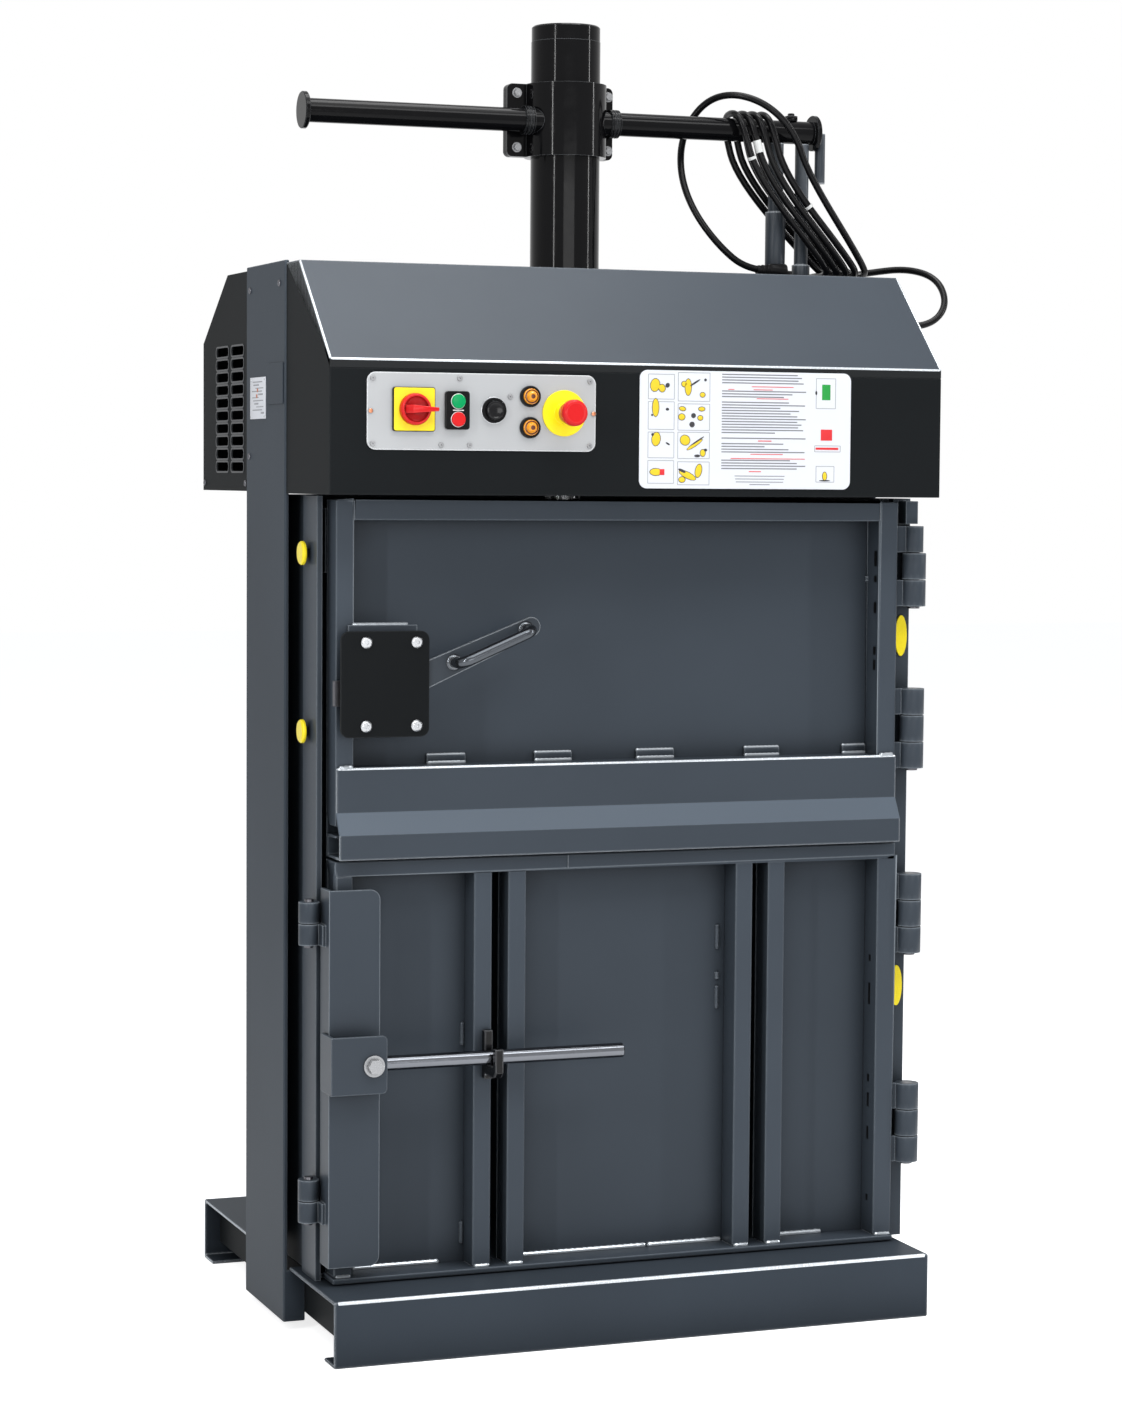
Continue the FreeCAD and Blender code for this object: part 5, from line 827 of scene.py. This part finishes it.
def outline_fields(x, y, width, height, line=0.8):
    """Four thin lines round a box, given by its upper left corner."""
    middle_x, middle_y = x + width / 2, y + height / 2
    return [
        (middle_x, y, width, line, 0), (middle_x, y + height, width, line, 0),
        (x, middle_y, line, height, 0), (x + width, middle_y, line, height, 0),
    ]


class BALER_OT_plate_print(bpy.types.Operator):
    """Lays plain coloured fields and bars on the two pale plates"""

    bl_idname = "baler.plate_print"
    bl_label = "Plate print"

    def execute(self, context):
        boxes = [(x, y, width, height) for x, width, rows in BOX_COLUMNS for y, height in rows]
        lines = [line for box in (*boxes, *RIGHT_BOXES) for line in outline_fields(*box)]
        print_fields("plate_lines", lines, "print_grey")
        bars = []
        for n in range(BAR_COUNT):
            y = BAR_TOP + n * BAR_PITCH
            width = BAR_WIDTH * BAR_SHARES[n % len(BAR_SHARES)]
            if width and all(abs(y - red[1]) > RED_CLEAR for red in RED_BARS):
                bars.append((BAR_LEFT + width / 2, y, width, BAR_HEIGHT, 0))
        print_fields("plate_bars", (*bars, *FOOT_BARS), "print_text")
        backing = [(x, y, w + BACKING_MARGIN, h + BACKING_MARGIN, turn) for x, y, w, h, turn in YELLOW_FIELDS]
        print_fields("plate_backing", backing, "plate_dark", sides=12)
        print_fields("plate_yellow", YELLOW_FIELDS, "plate_yellow", rise=0.2, sides=12)
        print_fields("plate_dark", DARK_FIELDS, "plate_dark", rise=0.24, sides=10)
        print_fields("plate_red", (*RED_MARKS, *RED_BARS), "plate_red", rise=0.26)
        print_fields("plate_green", ((274, 26, 12.5, 21, 0),), "plate_green", rise=0.2)
        self.side_plate()
        return {"FINISHED"}

    def side_plate(self):
        """The small plate on the left column, with plain marks and corner rivets."""
        sheet = block("column_plate", mm(-443.2, -15.5, 1249.0), mm(-441.6, 61.8, 1306.4), 0.0004)
        finish_piece(sheet, "sign_plate")
        marks = []
        for n, (y, half_width, half_height) in enumerate(COLUMN_MARKS):
            z = MARK_TOP - MARK_PITCH * n
            low = mm(-443.5, y - half_width, z - half_height)
            marks.append(block("mark", low, mm(-443.1, y + half_width, z + half_height)))
        finish_piece(joined(marks, "column_plate_marks"), "sign_plate", "print_grey")
        spot = block("spot", mm(-443.6, 0, 0), mm(-443.1, 6, 5))
        spots = set_out(spot, "column_plate_spots", ((0, 20, 1286), (0, 24, 1278)))
        finish_piece(spots, "sign_plate", "collar_orange")
        corners = [(-443.1, y, z) for y in (-12, 58) for z in (1252, 1303)]
        turned_row("column_plate_rivets", RIVET, 16, corners, (-1, 0, 0), "bright_steel")


# ---- thin trim ----
LOUVRE_ROWS, LOUVRE_PITCH, LOUVRE_TOP, LOUVRE_MIDDLES = 10, 18.2, 1347.0, (143.5, 225.5)
LOUVRE_LENGTH, LOUVRE_HEIGHT, LOUVRE_RIM = 67.0, 12.6, 2.6
BEAM_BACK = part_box("base_beams")[1][1] * 1000


def highlight_bead(name, start, end, radius):
    """A slim rounded bead along an edge, coloured pale as a painted highlight, in millimetres."""
    def profile(length):
        return (0.5 * radius, 0), (radius, radius), (radius, length - radius), (0.5 * radius, length)
    return along(name, start, end, profile, 12)


class BALER_OT_trim(bpy.types.Operator):
    """Adds the rims of the louvre slots, darkened as painted shade, and pale beads of painted highlight along
    edges
    """

    bl_idname = "baler.trim"
    bl_label = "Trim"

    def execute(self, context):
        size = (LOUVRE_LENGTH + 2 * LOUVRE_RIM, LOUVRE_HEIGHT + 2 * LOUVRE_RIM)
        corner = 0.9 * size[1] / 2
        places = [(0, y, -row * LOUVRE_PITCH) for y in LOUVRE_MIDDLES for row in range(LOUVRE_ROWS)]
        turn = (math.pi / 2, 0, math.pi / 2)
        # the rims' dark colour is painted shade of the slots' recesses
        for name, face, rise in (("louvre_rims", -438.9, -0.9), ("far_louvre_rims", 438.9, 0.9)):
            rim = flat_rim("rim", size, corner, LOUVRE_RIM, (rise, 0, 0), (face, 0, LOUVRE_TOP), turn)
            finish_piece(set_out(rim, name, places), "black_paint", "louvre_shade_rim", edge=0.0003)
        lip = highlight_bead("ledge_edge", (-405, -232.3, 782.3), (417, -232.3, 782.3), 2.0)
        finish_piece(lip, "body_paint", "painted_highlight", body="upper_door")
        beam = highlight_bead("beam", (-431, 0, 86.2), (431, 0, 86.2), 3.1)
        beams = set_out(beam, "beam_edges", ((0, -322.2, 0), (0, BEAM_BACK - 3.2, 0)))
        finish_piece(beams, "body_paint", "painted_highlight")
        fold = highlight_bead("fold", (-439, -311.5, 1322.3), (439, -311.5, 1322.3), 1.9)
        rise = highlight_bead("rise", (0, -312.0, 1322.4), (0, -170.4, 1455.9), 1.6)
        rises = set_out(rise, "rises", ((-438.7, 0, 0), (438.7, 0, 0)))
        finish_piece(joined([fold, rises], "hood_edges"), "body_paint", "painted_highlight")
        return {"FINISHED"}


# ---- fasteners ----
HOUSING_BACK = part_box("power_box_shell")[1][1] * 1000
SIDE_SCREWS = (
    (442, 66, 1427.3), (442, -82.8, 1430.5), (442, 68.7, 1197.5), (439, 325, 1160), (439, 100, 1160),
)
REAR_SCREWS = [(x, HOUSING_BACK, z) for x in (-418, -140, 140, 418) for z in (1163, 1346)]
SIDE_SOCKETS = ((-385.8, 1255.8), (-76.0, 1255.8))
PANEL_SOCKETS = (
    (-382.7, 1298.3), (-382.7, 1213.3), (-81.2, 1298.3), (-81.2, 1213.3), (-263.6, 1299.6),
    (-289.0, 1212.6), (-249.8, 1212.6), (-193.6, 1276.8),
)
LEVER_SLOPE = math.radians(23)
LEVER_PIVOT, GRIP_REACHES = (-343, -252.5, 884), (103.0, 213.5)

SCREW_HEAD = ((4.5, 0), (4.5, 0.8), (3.8, 1.8), (2.25, 2.3), (1.9, 1.5))
SOCKET = ((0.95, 1.2), (0.95, 2.15), (0.6, 2.16))
COPPER_HEAD = ((2.9, 0.8), (2.9, 2.2), (2.2, 2.9), (1.2, 3.0), (1.0, 2.4))
GRIP_FOOT = ((11.0, 0), (11.0, 1.6), (9.8, 3.0), (8.2, 3.8), (7.7, 6.0))
BAR_NUT = ((9.0, 0), (9.6, 0.8), (9.6, 6.6), (9.0, 7.4), (5.2, 7.4), (5.0, 10.4), (4.2, 11.2))


class BALER_OT_fasteners(bpy.types.Operator):
    """Adds the small screws, sockets and the nut on the reel bar"""

    bl_idname = "baler.fasteners"
    bl_label = "Fasteners"

    def execute(self, context):
        head = turned("screw", SCREW_HEAD, 20)
        for name, places, direction in (
            ("side_screws", [(-x, y, z) for x, y, z in SIDE_SCREWS], (-1, 0, 0)),
            ("far_side_screws", SIDE_SCREWS, (1, 0, 0)),
            ("rear_screws", REAR_SCREWS, (0, 1, 0)),
        ):
            finish_piece(set_out(copied(head, "screw_head"), name, places, direction), "dark_steel")
        bpy.data.objects.remove(head)
        # Dark hex pins in the panel screws: painted shade of their sockets
        places = [(x, PANEL_FACE, z) for x, z in PANEL_SOCKETS]
        turned_row("panel_screw_sockets", SOCKET, 6, places, TO_FRONT, "dark_steel")
        places = [(x, PANEL_FACE, z) for x, z in SIDE_SOCKETS]
        turned_row("panel_side_heads", COPPER_HEAD, 20, places, TO_FRONT, "bright_steel", "copper_steel")
        x, y, z = LEVER_PIVOT
        places = [(x + r * math.cos(LEVER_SLOPE), y, z + r * math.sin(LEVER_SLOPE)) for r in GRIP_REACHES]
        turned_row("lever_grip_feet", GRIP_FOOT, 32, places, TO_FRONT, "gloss_black", "grip_black", "lever")
        nut = placed(turned("bar_nut", BAR_NUT, 6), (341, -20, 1687.2))
        finish_piece(nut, "gloss_black", edge=0.0004)
        return {"FINISHED"}


# ---- welds ----
# Spans in millimetres along X, and for the uprights their X and their span along Z
LEDGE_WELDS = ((-267, -211), (-112, -57), (38, 95), (201, 255), (352, 389))
SKIN_WELDS = ((-370, -245), (-134, 60), (62, 174), (252, 330))
POST_LEFTS = (-210, -161, 175, 224)
UPRIGHT_WELDS = (
    (-213, 397, 429), (-213, 123, 154), (164, 513, 548), (164, 429, 462), (164, 470, 482), (390, 1027, 1036),
)
SEAM_FACE, SKIN_FACE = -230.4, -191  # Y of the doors' front seams and of their skins' welds
RIPPLE_PITCH, RIPPLE_WAIST, FEWEST_RIPPLES = 1.1, 0.82, 6  # the first two in bead radii


def bead(start, end, radius):
    """A rippled weld bead between two points in millimetres."""
    def profile(length):
        steps = max(FEWEST_RIPPLES, int(length / (RIPPLE_PITCH * radius)))
        widths = (RIPPLE_WAIST * radius, radius)
        ripples = [(widths[n % 2], length * n / steps) for n in range(1, steps)]
        return [
            (0.3 * radius, 0), (0.8 * radius, 0.4 * radius), *ripples,
            (0.8 * radius, length - 0.4 * radius), (0.3 * radius, length),
        ]
    return along("bead", start, end, profile, 10)


def level_beads(spans, y, z, radius):
    """Weld beads along X over several spans."""
    return [bead((a, y, z), (b, y, z), radius) for a, b in spans]


class BALER_OT_welds(bpy.types.Operator):
    """Adds the weld beads of the doors"""

    bl_idname = "baler.welds"
    bl_label = "Welds"

    def execute(self, context):
        stop = bead((2, -192, 786), (2, -192, 796), 2.0)
        upper = [
            *level_beads(LEDGE_WELDS, -192, 796, 2.6), *level_beads(LEDGE_WELDS, -194, 785.5, 3.0),
            set_out(stop, "stops", [(left, 0, 0) for left, right in LEDGE_WELDS]),
            *level_beads(((-384, -306),), -231, 975, 2.6),
            bead((-402, -232, 784), (-382, -232, 785), 3.5), bead((392, -232, 784), (414, -232, 785), 3.5),
        ]
        finish_piece(joined(upper, "upper_door_welds"), "body_paint", "weld_glint_paint", body="upper_door")
        tabs = [block("tab", mm(a, -195, 784.5), mm(b, -190, 796), 0.0012) for a, b in LEDGE_WELDS]
        finish_piece(joined(tabs, "upper_door_tabs"), "body_paint", body="upper_door")
        seam = bead((0, SEAM_FACE, 1114), (0, SEAM_FACE, 1139), 1.0)
        seams = set_out(seam, "upper_door_seams", ((-381, 0, 0), (390, 0, 0)))
        finish_piece(seams, "body_paint", body="upper_door")
        foot = bead((2, -230.5, 99.5), (24, -230.5, 99.5), 3.4)
        lower = [
            set_out(foot, "feet", [(left, 0, 0) for left in POST_LEFTS]),
            *level_beads(SKIN_WELDS, SKIN_FACE, 100.5, 4.0),
            *level_beads(((-404, -383), (395, 419)), -230.5, 99.5, 3.0),
        ]
        finish_piece(joined(lower, "lower_door_welds"), "body_paint", "weld_glint_paint")
        upright = [bead((x, SKIN_FACE, a), (x, SKIN_FACE, b), 3.2) for x, a, b in UPRIGHT_WELDS]
        upright.append(bead((-75, SEAM_FACE, 640), (-75, SEAM_FACE, 658), 0.9))
        finish_piece(joined(upright, "lower_door_seams"), "body_paint")
        return {"FINISHED"}


# ---- stile slots ----
STILE_SLOTS = (  # name, body, the stile's inner face, the slots' front and their spans along Z
    ("stile_slots", "upper_door", 390, -219, (
        (1050, 1071), (1027.5, 1036), (984, 999), (925, 936), (903.5, 917.6),
    )),
    ("lower_stile_slots", "frame", 393, -212, (
        (488.7, 497.7), (427, 457.5), (316, 326.5), (280, 299.5), (233, 251.5), (144.5, 153.5),
    )),
)


class BALER_OT_stile_slots(bpy.types.Operator):
    """Marks the rows of small slots in the right stiles' inner faces with thin black blocks: painted shade of
    open slots
    """

    bl_idname = "baler.stile_slots"
    bl_label = "Stile slots"

    def execute(self, context):
        for name, body, x, y, spans in STILE_SLOTS:
            slots = [block("slot", mm(x - 0.3, y, low), mm(x + 0.1, y + 6, high)) for low, high in spans]
            finish_piece(joined(slots, name), "black_plastic", body=body)
        return {"FINISHED"}


# ---- stage ----
# The photograph's camera, in the frame's own metres and in radians
CAMERA_PLACE = (-1.69306, -4.48951, 1.17196)
CAMERA_YAW, CAMERA_PITCH, CAMERA_ROLL = 0.3606, 0.0666, 0.0073
CAMERA_LENS_MM, CAMERA_SENSOR_MM = 86.25, 36
FLOOR_SIZE = 40
FLOOR_GLOW = 0.78  # keeps the floor white to the camera, and its shadow soft
LAMPS = (  # name, place, the point that it faces, width and height, and power in watts
    ("top", (-0.5, -1.3, 4.3), (0.0, -0.4, 0.9), (3.2, 3.4), 112),
    ("over the hood", (0.45, 0.1, 4.3), (0.0, -0.2, 1.4), (1.2, 1.4), 38),
    ("high front", (1.1, -2.9, 4.2), (0, -0.2, 0.7), (1.8, 1.0), 40),
    ("left strip", (-3.3, -2.2, 2.2), (0, 0, 1.0), (0.14, 2.6), 50),
    ("right strip", (3.4, -1.6, 2.2), (0, 0, 1.0), (0.14, 2.6), 40),
    ("front", (-0.6, -5.4, 1.4), (0, 0, 1.1), (3.5, 1.4), 68),
)


def soft_light(name, place, target, size, power):
    """A large soft lamp that faces a point."""
    data = bpy.data.lights.new(name, "AREA")
    data.shape = "RECTANGLE"
    data.size, data.size_y = size
    data.energy = power
    lamp = bpy.data.objects.new(name, data)
    bpy.context.collection.objects.link(lamp)
    lamp.location = place
    lamp.rotation_euler = (Vector(target) - Vector(place)).to_track_quat("-Z", "Y").to_euler()


def seen_directly(tree):
    """A factor of 1 for rays from the camera or through glossy and clear surfaces."""
    rays = tree.nodes.new("ShaderNodeLightPath").outputs
    either = maths(tree, "MAXIMUM", rays["Is Camera Ray"], rays["Is Glossy Ray"])
    return maths(tree, "MAXIMUM", either, rays["Is Transmission Ray"])


def floor_material():
    """A white floor that keeps the machine's shadow."""
    material, tree, shader = new_material("floor_white")
    tint = ramp(tree, noise(tree, 0.6, 4.0), (0.90,) * 3, (0.92,) * 3)
    tree.links.new(tint, shader.inputs["Base Color"])
    shader.inputs["Roughness"].default_value = 0.9
    shader.inputs["Specular IOR Level"].default_value = 0.0
    shader.inputs["Emission Color"].default_value = (1, 1, 1, 1)
    glow = maths(tree, "MULTIPLY", seen_directly(tree), FLOOR_GLOW)
    tree.links.new(glow, shader.inputs["Emission Strength"])
    return material


def background(tree, colour, strength):
    """One plain light from all round."""
    node = tree.nodes.new("ShaderNodeBackground")
    node.inputs["Color"].default_value = (*colour, 1)
    node.inputs["Strength"].default_value = strength
    return node.outputs[0]


def white_world():
    """A white surround for the camera, with a dimmer light on the machine."""
    world = bpy.data.worlds.new("surround")
    world.use_nodes = True
    tree = world.node_tree
    tree.nodes.clear()
    out = tree.nodes.new("ShaderNodeOutputWorld")
    mix = tree.nodes.new("ShaderNodeMixShader")
    tree.links.new(seen_directly(tree), mix.inputs["Fac"])
    tree.links.new(background(tree, (0.9, 0.94, 1.0), 0.25), mix.inputs[1])
    tree.links.new(background(tree, (1, 1, 1), 1.0), mix.inputs[2])
    tree.links.new(mix.outputs[0], out.inputs["Surface"])
    return world


class BALER_OT_stage(bpy.types.Operator):
    """Makes the floor, the lights and the camera"""

    bl_idname = "baler.stage"
    bl_label = "Stage"

    def execute(self, context):
        clear_selection()
        scene = context.scene
        scene.view_settings.view_transform = "Standard"
        bpy.ops.mesh.primitive_plane_add(size=FLOOR_SIZE, location=(0, 0, 0))
        floor = context.object
        floor.name = "floor"
        floor.data.materials.append(floor_material())
        scene.world = white_world()
        for lamp in LAMPS:
            soft_light(*lamp)
        camera = bpy.data.cameras.new("camera")
        camera.lens = CAMERA_LENS_MM
        camera.sensor_width = CAMERA_SENSOR_MM
        holder = bpy.data.objects.new("camera", camera)
        context.collection.objects.link(holder)
        turn = Matrix.Rotation(-CAMERA_YAW, 4, "Z") @ Matrix.Rotation(math.pi / 2 - CAMERA_PITCH, 4, "X")
        turn = turn @ Matrix.Rotation(CAMERA_ROLL, 4, "Z")
        holder.matrix_world = Matrix.Translation(CAMERA_PLACE) @ turn
        scene.camera = holder
        return {"FINISHED"}


# ---- add-on ----
STEPS = (
    BALER_OT_finishes, BALER_OT_cable, BALER_OT_cable_fittings, BALER_OT_controls, BALER_OT_plate_print,
    BALER_OT_trim, BALER_OT_fasteners, BALER_OT_welds, BALER_OT_stile_slots, BALER_OT_stage,
)


class BALER_PT_panel(bpy.types.Panel):
    """Lists the steps that dress the machine"""

    bl_idname = "BALER_PT_panel"
    bl_label = "Baler"
    bl_space_type = "VIEW_3D"
    bl_region_type = "UI"
    bl_category = "Baler"

    def draw(self, context):
        for step in STEPS:
            self.layout.operator(step.bl_idname)


CLASSES = (BalerPaint, BalerSizes, *STEPS, BALER_PT_panel)


def register():
    """Registers the classes and the scene's settings."""
    for item in CLASSES:
        bpy.utils.register_class(item)
    bpy.types.Scene.baler_paint = bpy.props.PointerProperty(type=BalerPaint)
    bpy.types.Scene.baler_sizes = bpy.props.PointerProperty(type=BalerSizes)


def unregister():
    """Takes the classes and the settings away again."""
    del bpy.types.Scene.baler_sizes
    del bpy.types.Scene.baler_paint
    for item in reversed(CLASSES):
        bpy.utils.unregister_class(item)


def main():
    """Dresses the machine."""
    register()
    make_materials()
    bpy.ops.baler.finishes()
    bpy.ops.baler.cable()
    bpy.ops.baler.cable_fittings()
    bpy.ops.baler.controls()
    bpy.ops.baler.plate_print()
    bpy.ops.baler.trim()
    bpy.ops.baler.fasteners()
    bpy.ops.baler.welds()
    bpy.ops.baler.stile_slots()
    bpy.ops.baler.stage()


if __name__ == "__main__":
    main()
